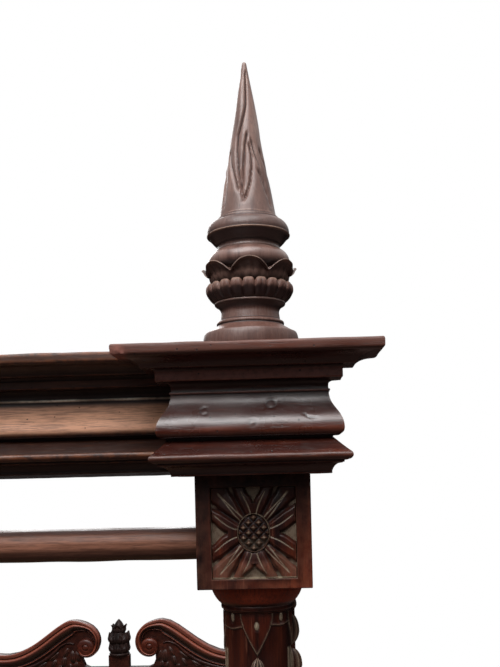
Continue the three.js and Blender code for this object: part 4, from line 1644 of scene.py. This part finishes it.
@dataclass
class Cornice:
    """The moulded cornice: four corner blocks that step forward, and the rails between them.

    Each dent has its place from the post's axis and the cornice's foot, its radius and its depth.
    """

    height: float = 161.0
    foot: float = 27.0
    setback: float = 55.0
    lift: float = 7.0
    half: float = 75.0
    at: float = 1900.0
    fit: float = 0.3
    dents: Rows = ((-57, 81.5, 4.6, 0.5), (27, 89, 5.6, 0.6), (4, 65, 4.0, 0.5))
    astragal: float = 55.6
    gouge: tuple[Point, ...] = ((68, 75), (74, 70), (84, 69))
    chip: Point = (-156.0, 149.0)

    def edge(self, back: float, lift: float, start: Point) -> list[Point]:
        """The moulded edge from its foot to its top.

        Args:
            back: how far the whole edge stands behind that of a corner block.
            lift: how much higher its lower members are.
            start: the point that the outline comes from.

        Returns:
            The eased points.
        """
        top = self.height
        a, b = start
        p = Outline(a + back, b, 4)
        p.to(self.foot, lift)
        p.step = 2.0
        p.to(self.foot, 3 + lift).bend((30, 12 + lift), (39, 13 + lift))
        p.to(42, 13.5 + lift).to(42, 16.5 + lift).to(48, 17 + lift)
        p.bend((54, 20 + lift), (51.5, 25.5 + lift))
        p.to(29, 45.5 + lift).to(29, 48 + lift)
        p.to(37, 48.5 + lift).bend((43, 50 + lift), (43, 57 + lift))
        p.bend((42, 78), (25, 84), (25, top - 57))
        p.to(26.8, top - 56.6).to(26.8, top - 54.6).to(24.6, top - 54.2)
        p.to(24.6, top - 50).bend((25, top - 43), (31, top - 42))
        p.to(42, top - 41.5).to(42, top - 29.5).to(45, top - 26.5)
        p.to(58, top - 26.5)
        p.to(59, top - 24).bend((66, top - 15), (82, top - 14.5))
        p.bend((89.4, top - 14.5), (89.4, top - 10)).to(89.4, top - 3.5)
        p.bend((89.4, top), (86, top))
        p.step = 8
        p.to(a + back, top)
        return [(a - back, b) for a, b in p.softened(0.9)]

    def breakfront(self) -> BMesh:
        """The part of a corner block that stands in front of its post, mitred round three sides.

        Returns:
            The closed mesh.
        """
        section = self.edge(0, 0, (0, 0))
        half, base, fit = self.half, self.at, self.fit
        front = sweep(section, 100, lambda a, t, b: ((2 * t - 1) * (half + a), half + a, base + b))
        outer = sweep(section, 14, lambda a, t, b: (half + a, half + a * t, base + b))
        inner = sweep(section, 28, lambda a, t, b: (-half - a, fit + (half + a - fit) * t, base + b))
        whole = joined([open_ends(front, 2), open_ends(outer, 1), open_ends(inner, 1)])
        return closed(whole, 0.02)

    def knocked(self, bm: BMesh) -> BMesh:
        """Gives the breakfront its dents, a gouge, a chipped corner, and the marks of use.

        Args:
            bm: the shape.

        Returns:
            The same shape.
        """
        marked(bm, "rubbed", self.handled)
        marked(bm, "polish", lambda co: band(co.z - self.at, 60, 68, 106, 112))
        marked(bm, "dust", self.lightened)
        marked(bm, "stain_and_shade", lambda co: 0.45 * band(co.z - self.at, 27, 31, 45, 49))
        dust, stain_and_shade = (bm.verts.layers.float[name] for name in ("dust", "stain_and_shade"))
        for v in bm.verts:
            if v.co.y < self.half + 5:
                continue
            at = Vector((v.co.x, v.co.z - self.at))
            for x, z, radius, depth in self.dents:
                off = (at - Vector((x, z))).length
                ring = bell((off - radius) / 1.3)
                v.co.y -= depth * (ring - 0.3 * smooth(radius, 0, off))
                v[stain_and_shade] = max(v[stain_and_shade], 0.4 * ring)
            for start, end in zip(self.gouge, self.gouge[1:]):
                way, reach = Vector(end) - Vector(start), at - Vector(start)
                share = min(1.0, max(0.0, reach.dot(way) / way.length_squared))
                cut = bell((reach - way * share).length / 1.3)
                v.co.y -= 0.6 * cut
                v[stain_and_shade] = max(v[stain_and_shade], 0.8 * cut)
            chipped = smooth(15, 5, (at - Vector(self.chip)).length) * smooth(40, 60, v.co.y - self.half)
            v.co += Vector((0.6, -1, 0.5)) * (2.6 * chipped * abs(noise.noise(v.co / 5)))
            v[dust] = max(v[dust], 0.75 * chipped)
        return bm

    def lightened(self, co: Vector) -> float:
        """How much a corner block is lightened at a place: a pale worn line with a painted highlight along
        its astragal, and painted light on the fillet under its slab.

        Args:
            co: the place.

        Returns:
            The share, 0 to 1.
        """
        down = self.at + self.height - co.z
        out = max(co.y, abs(co.x)) - self.half
        astragal = 0.4 * smooth(1.9, 1.2, abs(down - self.astragal))
        return max(astragal, 0.45 * band(down, 28.5, 30, 41, 42.5) * smooth(38, 41, out))

    def handled(self, co: Vector) -> float:
        """How rubbed a corner block is at a place: most on the rounded edges of its slab and its base.

        Args:
            co: the place.

        Returns:
            The share, 0 to 1.
        """
        out = max(co.y, abs(co.x)) - self.half
        height = co.z - self.at
        slab = smooth(self.height - 16, self.height - 12, height) * smooth(76, 82, out)
        base = band(height, 12, 15, 25, 28) * smooth(40, 44, out)
        return max(0.9 * slab, 0.6 * base)

    def over_post(self) -> list[BMesh]:
        """The rest of a corner block, over its post: the side's moulding and the body behind it.

        Returns:
            The three closed meshes.
        """
        half, base = self.half, self.at
        out = half + self.foot - self.setback
        side = self.edge(self.setback, self.lift, (-half, self.lift))
        run = sweep(side, 40, lambda a, t, b: (half + a, -half + (2 * half + 0.3) * t, base + b - 0.15))
        body = block((-half, -half, base + 0.1), (0.4, half + 0.4, base + self.height - 0.3), 0.5)
        foot = block((-half, -half, base + 0.05), (out, half + 0.5, base + self.lift + 2), 0.5)
        return [run, body, foot]

    def rail(self, reach: float, steps: int) -> BMesh:
        """A rail along X with its moulding towards +Y.

        Args:
            reach: half the distance between the blocks that it runs between.
            steps: how many steps its length is cut into.

        Returns:
            The closed mesh.
        """
        section = self.edge(self.setback, self.lift, (-self.half, self.lift))
        bm = sweep(section, steps, lambda a, t, b: ((2 * t - 1) * reach, self.half + a, self.at + b))
        out = self.half + self.foot - self.setback

        def rubbed(co: Vector) -> float:
            """How rubbed the rail is at a place: most on its large curve.

            Args:
                co: the place.

            Returns:
                The share, 0 to 1.
            """
            height = co.z - self.at
            ogee = band(height, 57, 65, 95, 101)
            nose = band(height, 28.5, 30, 32, 33.5) * smooth(out + 12, out + 17, co.y)
            slab = smooth(self.height - 16, self.height - 12, height) * smooth(out + 50, out + 56, co.y)
            return max(ogee, 0.36 * nose * smooth(-0.2, 0.1, noise.noise(co / 70)), 0.05 * slab)

        def stain_and_shade(co: Vector) -> float:
            """How dark the rail is at a place: in its hollows."""
            height = co.z - self.at - self.lift
            return max(0.8 * smooth(5, 3, height), 0.5 * band(height, 26, 29, 46, 50))

        marked(bm, "rubbed", rubbed)
        marked(bm, "stain_and_shade", stain_and_shade)

        def dust(co: Vector) -> float:
            """How pale the line under the rail's slab is at a place: a worn line with a painted highlight.

            Args:
                co: the place.

            Returns:
                The share, 0 to 1.
            """
            patchy = 0.35 + 0.65 * smooth(-0.25, 0.15, noise.noise(co / 45))
            off = abs(co.z - self.at - self.height + self.astragal)
            return patchy * smooth(1.9, 1.2, off) * smooth(out - 4, out - 2, co.y)

        return marked(bm, "dust", dust)

    def build(self) -> None:
        """Makes the corner blocks and the rails."""
        front = self.knocked(uneven(self.breakfront(), 0.8, 34, 5.0))
        wood = CORNER_WOOD.material(Grain.X)
        for corner, bm in zip(CORNERS, for_corners(joined([front, *self.over_post()]))):
            nodes = [f"cornice_corner_{corner.at}"]
            show(bm, f"moulded_corner_{corner.at}", wood, "carved_wood", stands_for=nodes, reach=5.0)
        axis = middle_of_node("finial_foot_right")
        across, along = axis.x, -axis.y
        for name, reach, out, turned_by, grain in (
            ("foot", across, along, math.pi, Grain.X), ("head", across, along, 0.0, Grain.X),
            ("left", along, across, math.pi / 2, Grain.Y), ("right", along, across, -math.pi / 2, Grain.Y),
        ):
            reach -= self.half + self.fit
            bm = uneven(self.rail(reach, round(reach / 9)), 0.9, 42, 2.0 + out / 300)
            matrix = Matrix.Rotation(turned_by, 4, "Z") @ Matrix.Translation((0, out, 0))
            node = f"cornice_rail_{name}"
            wood = MOULDED.material(grain)
            show(moved(bm, matrix), f"moulded_rail_{name}", wood, "worn_wood", stands_for=[node], reach=9.0)


def open_ends(bm: BMesh, count: int) -> BMesh:
    """Takes the end faces off a run, so that it can be joined to the next.

    Args:
        bm: the run.
        count: how many of its end faces go, 1 for the farther one.

    Returns:
        The same shape.
    """
    largest = sorted(bm.faces, key=lambda f: len(f.verts), reverse=True)[:2]
    if count == 1:
        reach = [f.calc_center_median().x ** 2 + f.calc_center_median().y ** 2 for f in largest]
        largest = [largest[reach.index(max(reach))]]
    bmesh.ops.delete(bm, geom=largest, context="FACES_ONLY")
    return bm


@dataclass
class CurtainRod:
    """A curtain rod: round, worked by hand, and let into the blocks at its ends."""

    radius: float = 23.0
    facets: int = 14

    def shape(self, length: float, axis: Grain) -> BMesh:
        """A rod of a length, centred on the origin and lying along an axis.

        Args:
            length: the rod's length.
            axis: the axis that it lies along.

        Returns:
            The closed mesh.
        """
        steps = round(length / 14)
        end, radius = length / 2, self.radius
        t = Outline(0, -end, length / steps).to(radius, -end).to(radius, end).to(0, end)
        bm = turn(t.points, self.facets * 3)
        for v in bm.verts:
            if v.co.xy.length < self.radius / 2:
                continue
            angle = math.atan2(v.co.y, v.co.x)
            flat = 0.35 * math.cos(self.facets * angle)
            swell = 0.8 * noise.noise(Vector((math.cos(angle), math.sin(angle), v.co.z / 70)) * 1.6)
            spread(v, 1 + (flat + swell - 0.4) / self.radius)
        moved(bm, Matrix.Rotation(math.pi / 2, 4, "Y" if axis is Grain.X else "X"))
        # Painted light: the rod is lighter along its two sides that face level.
        aside = 1 if axis is Grain.X else 0
        return marked(bm, "rubbed", lambda co: 0.65 * smooth(0.6, 1.0, abs(co[aside]) / radius))

    def build(self) -> None:
        """Makes the three rods."""
        for name, axis in (("foot", Grain.X), ("left", Grain.Y), ("right", Grain.Y)):
            node = f"curtain_rod_{name}"
            low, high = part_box(node)
            length = (high - low)[axis.value] / MM
            bm = moved(self.shape(length, axis), Matrix.Translation(middle_of_node(node)))
            show(bm, f"round_{node}", ROD.material(axis), "plain_wood", stands_for=[node])


@dataclass
class Joinery:
    """The planks and boards that keep the frame's own shapes, with their edges eased."""

    ease: float = 1.6
    shortest: float = 12.0
    side_rails: tuple[str, ...] = ("side_rail_left", "side_rail_right")
    ledgers: tuple[str, ...] = ("slat_ledger_left", "slat_ledger_right")
    stiles: tuple[str, ...] = ("headboard_stile_left", "headboard_stile_right")
    cross: tuple[str, ...] = (
        "foot_rail", "head_rail", "headboard_bottom_rail", "headboard_top_rail", "headboard_panel",
    )

    def build(self) -> None:
        """Makes the bed rails, the ledgers, the slats and the headboard's frame."""
        slats = sorted(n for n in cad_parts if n.startswith("slat_") and n not in self.ledgers)
        for nodes, finish, grain, slot in (
            (self.cross, PLAIN, Grain.X, "plain_wood"),
            (self.side_rails, PLAIN, Grain.Y, "plain_wood"),
            (self.stiles, PLAIN, Grain.Z, "plain_wood"),
            (self.ledgers, SLATS, Grain.Y, "slat_wood"),
            (slats, SLATS, Grain.X, "slat_wood"),
        ):
            for node in nodes:
                bm = ease_edges(merged_copy(node), self.ease, self.shortest)
                show(bm, f"planed_{node}", finish.material(grain), slot, stands_for=[node])


@dataclass
class Crest:
    """The crest of the headboard: a carved board, two scroll mouldings and a leafy bud between them.

    Each leaf has its place, its lean in degrees, its length and its half width. Each tier of the bud
    has what tier() asks for.
    """

    proud: float = 30.0
    eye: Point = (125.0, 1244.0)
    top: Point = (48.0, 106.0)
    volute: Point = (94.0, 40.0)
    fall: float = 2.6
    low: Point = (443.0, 1219.0)
    end_height: float = 1252.0
    plinth_top: float = 1206.0
    button: float = 33.0
    tiers: Rows = ((10, 50, 33, 43, 40), (44, 92, 29, 45, 40), (86, 120, 20, 28, 32))
    leaves: Rows = (
        (196, 1240, 30, 46, 10), (184, 1230, -4, 54, 13), (170, 1226, -20, 46, 10), (236, 1222, 52, 54, 11),
        (212, 1206, 14, 44, 13), (246, 1194, 34, 40, 11), (282, 1184, 62, 50, 10), (300, 1172, 28, 22, 9),
        (168, 1186, 6, 32, 10), (196, 1180, -22, 28, 9), (328, 1162, 78, 48, 8), (232, 1174, 4, 22, 9),
    )

    def path(self, end_x: float) -> list[Point]:
        """The upper edge of the scroll, from the post over the top and round the eye.

        Args:
            end_x: where it meets the post.

        Returns:
            The points, x and z.
        """
        low_x, low_z = self.low
        eye_x, eye_z = self.eye
        top_x, top_z = eye_x + self.top[0], eye_z + self.top[1]
        first, last = self.volute
        p = Outline(end_x, self.end_height, 6).bend(((end_x + low_x) / 2, low_z), (low_x, low_z))
        p.bend((low_x - 115, low_z), (top_x + 67, top_z), (top_x, top_z))
        p.bend((top_x - 18, top_z), (eye_x, eye_z + first))
        steps, outer, whole = 64, 1.18 * math.pi, 1.8 * math.pi
        for i in range(1, steps + 1):
            turned = whole * i / steps
            radius = last + (first - last) * (1 - min(1.0, turned / outer)) ** self.fall
            radius -= 17 * smooth(0.9 * outer, whole, turned)
            angle = math.pi / 2 + turned
            p.points.append((eye_x + radius * math.cos(angle), eye_z + radius * math.sin(angle)))
        return p.points

    def run(
        self, path: Sequence[Point], section: Sequence[Point], back: float, width: Callable[[float], float]
    ) -> BMesh:
        """A moulding carried along a path on the face of the board.

        Args:
            path: the path of its outer edge, x and z.
            section: its section, inwards from that edge and out of the board.
            back: the place of the board's face.
            width: gives the share of its full width at a share of the path.

        Returns:
            The closed mesh.
        """
        lengths = np.concatenate(([0.0], np.cumsum([math.dist(a, b) for a, b in zip(path, path[1:])])))
        count = len(path) - 1
        spots = np.linspace(0, lengths[-1], count + 1)
        xs = np.interp(spots, lengths, [p[0] for p in path])
        zs = np.interp(spots, lengths, [p[1] for p in path])

        def place(a: float, t: float, b: float) -> Sequence[float]:
            """Where a corner of the section goes.

            Args:
                a, b: the corner, in the section.
                t: its share of the path.

            Returns:
                Its place on the board.
            """
            i = min(count, round(t * count))
            before, after = max(i - 1, 0), min(i + 1, count)
            way = Vector((xs[after] - xs[before], zs[after] - zs[before])).normalized()
            inward = a * width(t)
            return xs[i] - way.y * inward, back - b, zs[i] + way.x * inward

        return sweep(section, count, place)

    def scroll(self, end_x: float, back: float) -> BMesh:
        """The right scroll: a fillet, a large bead and a hollow, winding round a button.

        Args:
            end_x: where it meets the post.
            back: the place of the board's face.

        Returns:
            The mesh.
        """
        proud = self.proud
        s = Outline(0, 0, 3).to(0, proud - 8).bend((0, proud - 4), (3, proud - 3.5)).to(14.5, proud - 2.5)
        s.to(16, proud - 6).to(17.5, proud - 9).bend((19, proud), (26, proud + 2), (34, proud - 1))
        s.bend((42, proud - 4), (46, proud - 9), (47, proud - 15)).to(49, proud - 19).to(53, proud - 19)
        s.bend((55, proud - 19), (56, proud - 16)).to(58, proud - 16).to(58, 0)

        def width(t: float) -> float:
            """The share of its full width that the scroll has at a share of its path."""
            return 1 - 0.56 * smooth(0.52, 0.7, t) - 0.24 * smooth(0.75, 1, t)

        edge = self.run(self.path(end_x), s.softened(0.6), back, width)
        marked(edge, "polish", lambda co: 0.7)
        rubbed, stain_and_shade = (edge.verts.layers.float.new(name) for name in ("rubbed", "stain_and_shade"))
        # Painted light on the scroll's upward-facing slopes, and painted shade on its downward-facing ones.
        edge.normal_update()
        for v in edge.verts:
            v[rubbed] = band(v.normal.z, -0.1, 0.35, 0.8, 0.97)
            v[stain_and_shade] = 0.6 * smooth(0.0, -0.6, v.normal.z)
        b = Outline(0, 0, 3).to(self.button, 0).to(self.button, proud - 9)
        b.bend((self.button, proud), (15, proud + 1)).bend((13, proud + 1.5), (12, proud - 2))
        b.bend((9, proud + 3), (0, proud + 3))
        eye = Matrix.Translation((self.eye[0], back, self.eye[1]))
        return joined([edge, moved(turn(b.points, 40), eye @ FACING_FRONT)])

    def foliage(self, back: float) -> BMesh:
        """The stem and the leaves carved on the right half of the board.

        Args:
            back: the place of the board's face.

        Returns:
            The mesh.
        """
        stem = Outline(176, 1254, 5).bend((206, 1268), (240, 1236)).bend((268, 1204), (308, 1184))
        stem.bend((362, 1156), (440, 1148)).bend((500, 1142), (560, 1156))
        bead = Outline(-9, -2, 2).to(-9, 0).bend((-8, 12), (8, 12), (9, 0)).to(9, -2)
        ridge = self.run(stem.points, bead.points, back, lambda t: 0.35 + 0.65 * smooth(0, 0.25, t))
        made = [ridge]
        for x, z, turned, length, half in self.leaves:
            way = Matrix.Rotation(math.radians(-turned), 4, "Y") @ Matrix.Rotation(-math.pi / 2, 4, "Z")
            leaf = Husk(length, half, proud=9.0, ribs=7, pale=0.04).drop()
            made.append(moved(leaf, Matrix.Translation((x, back + 1, z)) @ way))
        return joined(made)

    def build(self) -> None:
        """Makes the crest's board, scrolls and bud."""
        wood = CREST_WOOD.material(Grain.X)
        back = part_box("crest_board")[0].y / MM
        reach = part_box("crest_scroll_right")[1].x / MM
        mirrors = [Matrix.Diagonal((side.value, 1, 1, 1)) for side in Side]
        plank = ease_edges(merged_copy("crest_board"), 1.2, 3, 0.9)
        board = joined([plank, *(moved(self.foliage(back), mirror) for mirror in mirrors)])
        marked(board, "stain_and_shade", lambda co: 0.62)
        show(board, "carved_crest_board", wood, "carved_wood", stands_for=["crest_board"], reach=5.0)
        for side, mirror in zip(Side, mirrors):
            bm = moved(self.scroll(reach, back), mirror)
            bmesh.ops.recalc_face_normals(bm, faces=bm.faces[:])
            name = f"crest_scroll_{side.name.lower()}"
            show(bm, f"carved_{name}", wood, "carved_wood", stands_for=[name], reach=5.0)
        self.bud()

    def tier(self, low: float, high: float, waist: float, wide: float, tip: float) -> BMesh:
        """A ring of the bud's leaves.

        Args:
            low, high: the heights that it spans.
            waist, wide, tip: its radius at its foot, at its widest and at its leaves' tips.

        Returns:
            The closed mesh.
        """
        rise = high - low
        t = Outline(0, low, 4).to(waist, low)
        t.step = 2
        middle = low + rise * 0.5
        t.bend((wide, low + rise * 0.1), (wide, middle)).bend((wide - 2, low + rise * 0.8), (tip, high))
        t.to(tip - 4, high - 1).bend((waist - 2, low + rise * 0.7), (waist - 5, middle)).to(0, middle)

        def leaf(out: float, height: float, share: float) -> Point:
            """The form of a leaf of the bud.

            Args:
                out, height, share: as petal_ring() gives them.

            Returns:
                Its new distance out and height.
            """
            side = abs(share)
            lip = smooth(low + rise * 0.3, high, height) * smooth(waist - 5, wide - 4, out)
            bulge = smooth(waist, wide, out)
            ribs = 0.8 * math.cos(5 * math.pi * share) * bulge
            drawn_in = 5 * side**3 * bulge + 3 * lip * side**2
            return out - drawn_in + ribs, height - rise * 0.5 * lip * side**1.4

        return petal_ring(t, 6, 20, leaf)

    def bud(self) -> None:
        """Makes the leafy bud."""
        centre = middle_of_node("crest_finial")
        t = Outline(0, -20, 8).to(8, -20).to(8, 0)
        t.step = 2
        t.to(37, 0).bead(9, 3).up(31, 2).bend((28, 18), (32, 28)).bend((36, 52), (26, 78))
        t.bend((20, 98), (18, 116)).bend((13, 130), (0, 141))
        parts = [turn(t.points, 64), *(self.tier(*sizes) for sizes in self.tiers)]
        bm = moved(joined(parts), Matrix.Translation((centre.x, centre.y, self.plinth_top)))
        wood = DARK_CARVED.material(Grain.Z)
        show(bm, "carved_crest_finial", wood, "carved_wood", stands_for=["crest_finial"], reach=2.0)


@dataclass
class Hardware:
    """The bolts, their nuts, and the covers that swing over the bolts' heads."""

    cover: float = 22.0
    thick: float = 2.5
    ear: float = 8.0
    drop: float = 26.0
    face: float = 75.3
    head: float = 5.0

    def on_face(self, across: float, height: float) -> Matrix:
        """The place on the post's end face of a thing drawn upright, with its +Y upwards there."""
        outward = Matrix.Translation((across, self.face, height)) @ Matrix.Rotation(-math.pi / 2, 4, "X")
        return outward @ Matrix.Diagonal((1, -1, 1, 1))

    def plate(self, across: float, height: float) -> BMesh:
        """A cover in its corner's own frame: a dished plate, its ear, and a small knob to push it by.

        Args:
            across: its place across the post's face.
            height: the height of the bolt that it covers.

        Returns:
            The mesh.
        """
        rim, thick = self.cover, self.thick
        dish = Outline(0, 0, 2).to(rim - 0.6, 0).to(rim, 0.6).to(rim, thick - 0.7)
        dish.bend((rim - 0.6, thick), (rim - 2, thick)).to(rim - 4, thick - 0.5)
        dish.bend((rim - 12, thick - 0.4), (5, thick + 0.3)).to(0, thick + 0.3)
        knob = Outline(0, thick - 0.5, 1).to(2.6, thick - 0.5).to(2.6, thick + 0.8)
        knob.bend((4.6, thick + 1.0), (4.6, thick + 2.0)).bend((4, thick + 3), (0, thick + 3))
        low, high = 0.05, thick - 0.1
        disc = Outline(0, low, self.ear).to(self.ear, low).to(self.ear, high).to(0, high)
        ear = moved(turn(disc.softened(0.5, 1.0), 32), Matrix.Translation((0, self.drop, 0)))
        neck = block((-self.ear + 0.6, 8, 0.1), (self.ear - 0.6, self.drop, thick - 0.2), 0.4)
        whole = joined([turn(dish.points, 56), turn(knob.points, 24), ear, neck])
        return moved(whole, self.on_face(across, height))

    def screw(self, across: float, height: float) -> BMesh:
        """A slotted screw in its corner's own frame.

        Args:
            across: the place across the post's face.
            height: the height of the bolt below it.

        Returns:
            The closed mesh.
        """
        base = self.thick + 0.3
        top = Outline(0, -14, 4).to(2.4, -14).to(2.4, base).to(self.head, base)
        top.step = 0.8
        top.to(self.head, base + 0.7).bend((self.head - 1, base + 2.4), (0, base + 2.5))
        bm = turn(top.points, 28)
        for v in bm.verts:
            if v.co.z > base + 0.5 and abs(v.co.y) < 0.75:
                v.co.z -= 1.0
        return moved(bm, self.on_face(across, height + self.drop))

    def build(self) -> None:
        """Makes the covers and screws, and finishes the bolts and nuts."""
        brass, iron = BRASS.material(), IRON.material()
        for corner in CORNERS:
            centre = middle_of_node(f"bed_bolt_{corner.at}")
            axis = corner.matrix.translation
            across = (centre.x - axis.x) * corner.side.value
            cover, screw = f"bolt_cover_{corner.at}", f"cover_screw_{corner.at}"
            plate = moved(self.plate(across, centre.z), corner.matrix)
            show(plate, f"dished_{cover}", brass, "brass", cover, [cover], sharp=50, reach=1.0)
            head = moved(self.screw(across, centre.z), corner.matrix)
            show(head, f"slotted_{screw}", brass, "brass", stands_for=[screw], sharp=40, reach=0.6)
            for node in (f"bed_bolt_{corner.at}", f"bolt_nut_{corner.at}"):
                bm = ease_edges(merged_copy(node), 0.5, 1.5, 0.7)
                show(bm, f"forged_{node}", iron, "iron", stands_for=[node], reach=1.0)


@dataclass
class Studio:
    """The camera where the photograph's was, soft lamps, a pale floor and a white surround."""

    eye: Point3 = (0.6600, -2.249, 1.900)
    heading: float = 2.23
    roll: float = -0.0245
    lens: float = 45.88
    sensor: float = 36.0
    rise: float = 0.2121
    above: float = 0.6
    level: float = 0.14
    below: float = 0.05
    mirrored: Point = (0.005, 0.95)
    lamps: tuple[tuple[str, Point3, Point3, float, float], ...] = (
        ("key", (0.3, -2.6, 4.5), (0.55, -1.15, 2.0), 2.6, 126),
        ("wide", (-1.6, -5.0, 5.8), (0.0, 0.0, 1.2), 3.0, 70),
        ("back", (-1.0, 4.8, 4.6), (0.0, 0.6, 1.2), 2.6, 110),
    )
    floor_radius: float = 5.5
    floor_colour: Colour = (0.85, 0.85, 0.84)
    floor_glow: Colour = (0.16, 0.1, 0.085)

    def camera(self) -> None:
        """Sets the camera up."""
        data = bpy.data.cameras.new("camera")
        data.lens, data.sensor_width = self.lens, self.sensor
        data.shift_y = self.rise
        camera = placed("camera", data)
        camera.matrix_world = (
            Matrix.Translation(self.eye)
            @ Matrix.Rotation(math.radians(self.heading), 4, "Z")
            @ FACING_FRONT
            @ Matrix.Rotation(self.roll, 4, "Z")
        )
        bpy.context.scene.camera = camera

    def lamp(self, name: str, place: Point3, target: Point3, size: float, power: float) -> None:
        """A square soft lamp.

        Args:
            name: its name.
            place: where it stands.
            target: where it points.
            size: the length of its side.
            power: its power in watts.
        """
        data = bpy.data.lights.new(name, "AREA")
        data.shape, data.size, data.energy = "SQUARE", size, power
        lamp = placed(name, data)
        lamp.location = place
        lamp.rotation_mode = "QUATERNION"
        lamp.rotation_quaternion = (Vector(target) - Vector(place)).to_track_quat("-Z", "Y")

    def surround(self) -> None:
        """A world that looks white and lights the bed softly, more from above than from below."""
        world = bpy.data.worlds.new("surround")
        bpy.context.scene.world = world
        world.use_nodes = True
        n = Nodes(world.node_tree)
        path = n.add("ShaderNodeLightPath")
        background = world.node_tree.nodes["Background"]
        direction = n.add("ShaderNodeTexCoord").outputs["Generated"]
        up = n.add("ShaderNodeSeparateXYZ", Vector=direction).outputs["Z"]
        mirror = path.outputs["Is Glossy Ray"]
        glossy = n.times(mirror, n.span(up, 0.05, 0.62, *self.mirrored))
        seen = n.maths("MAXIMUM", path.outputs["Is Camera Ray"], glossy)
        seen = n.maths("MAXIMUM", seen, path.outputs["Is Transmission Ray"])
        level = n.span(up, -0.5, 0.05, self.below, self.level)
        level = n.plus(level, n.span(up, 0.05, 0.9, 0, self.above - self.level))
        level = n.times(level, n.maths("SUBTRACT", 1.0, mirror))
        colour = n.add("ShaderNodeCombineXYZ", X=level, Y=level, Z=level).outputs[0]
        n.feed(background.inputs["Color"], n.mix(seen, colour, WHITE))

    def floor(self) -> None:
        """A round pale floor that fades to white at its rim."""
        bm = bmesh.new()
        bmesh.ops.create_circle(bm, cap_ends=True, segments=96, radius=self.floor_radius)
        mesh = mesh_of(bm, "floor")
        floor = placed("floor", mesh)
        material, n, shader = new_material("pale_floor")
        place = n.object_place()
        length = n.add("ShaderNodeVectorMath", operation="LENGTH")
        n.feed(length.inputs[0], place)
        fade = n.span(length.outputs["Value"], 2.2, self.floor_radius - 0.2)
        path = n.add("ShaderNodeLightPath").outputs["Is Camera Ray"]
        n.feed(shader.inputs["Base Color"], n.mix(path, self.floor_glow, self.floor_colour))
        shader.inputs["Roughness"].default_value = 0.9
        shader.inputs["Specular IOR Level"].default_value = 0.1
        glow = n.add("ShaderNodeEmission", Color=(*WHITE, 1.0), Strength=1.0)
        mixed = n.add("ShaderNodeMixShader", Fac=n.times(fade, path))
        n.feed(mixed.inputs[1], shader.outputs[0])
        n.feed(mixed.inputs[2], glow.outputs[0])
        output = material.node_tree.nodes["Material Output"]
        n.feed(output.inputs["Surface"], mixed.outputs[0])
        mesh.materials.append(material)

    def build(self) -> None:
        """Sets up the studio."""
        self.camera()
        self.surround()
        self.floor()
        for lamp in self.lamps:
            self.lamp(*lamp)
        bpy.context.scene.view_settings.view_transform = "Standard"


def main() -> None:
    """Builds the bed, sub-assembly by sub-assembly."""
    logging.basicConfig(level=logging.INFO, format="%(name)s: %(message)s")
    for part in (Studio(), Post(), Finial(), Cornice(), CurtainRod(), Joinery(), Crest(), Hardware()):
        part.build()
        log.info("made the %s", type(part).__name__)


if __name__ == "__main__":
    main()
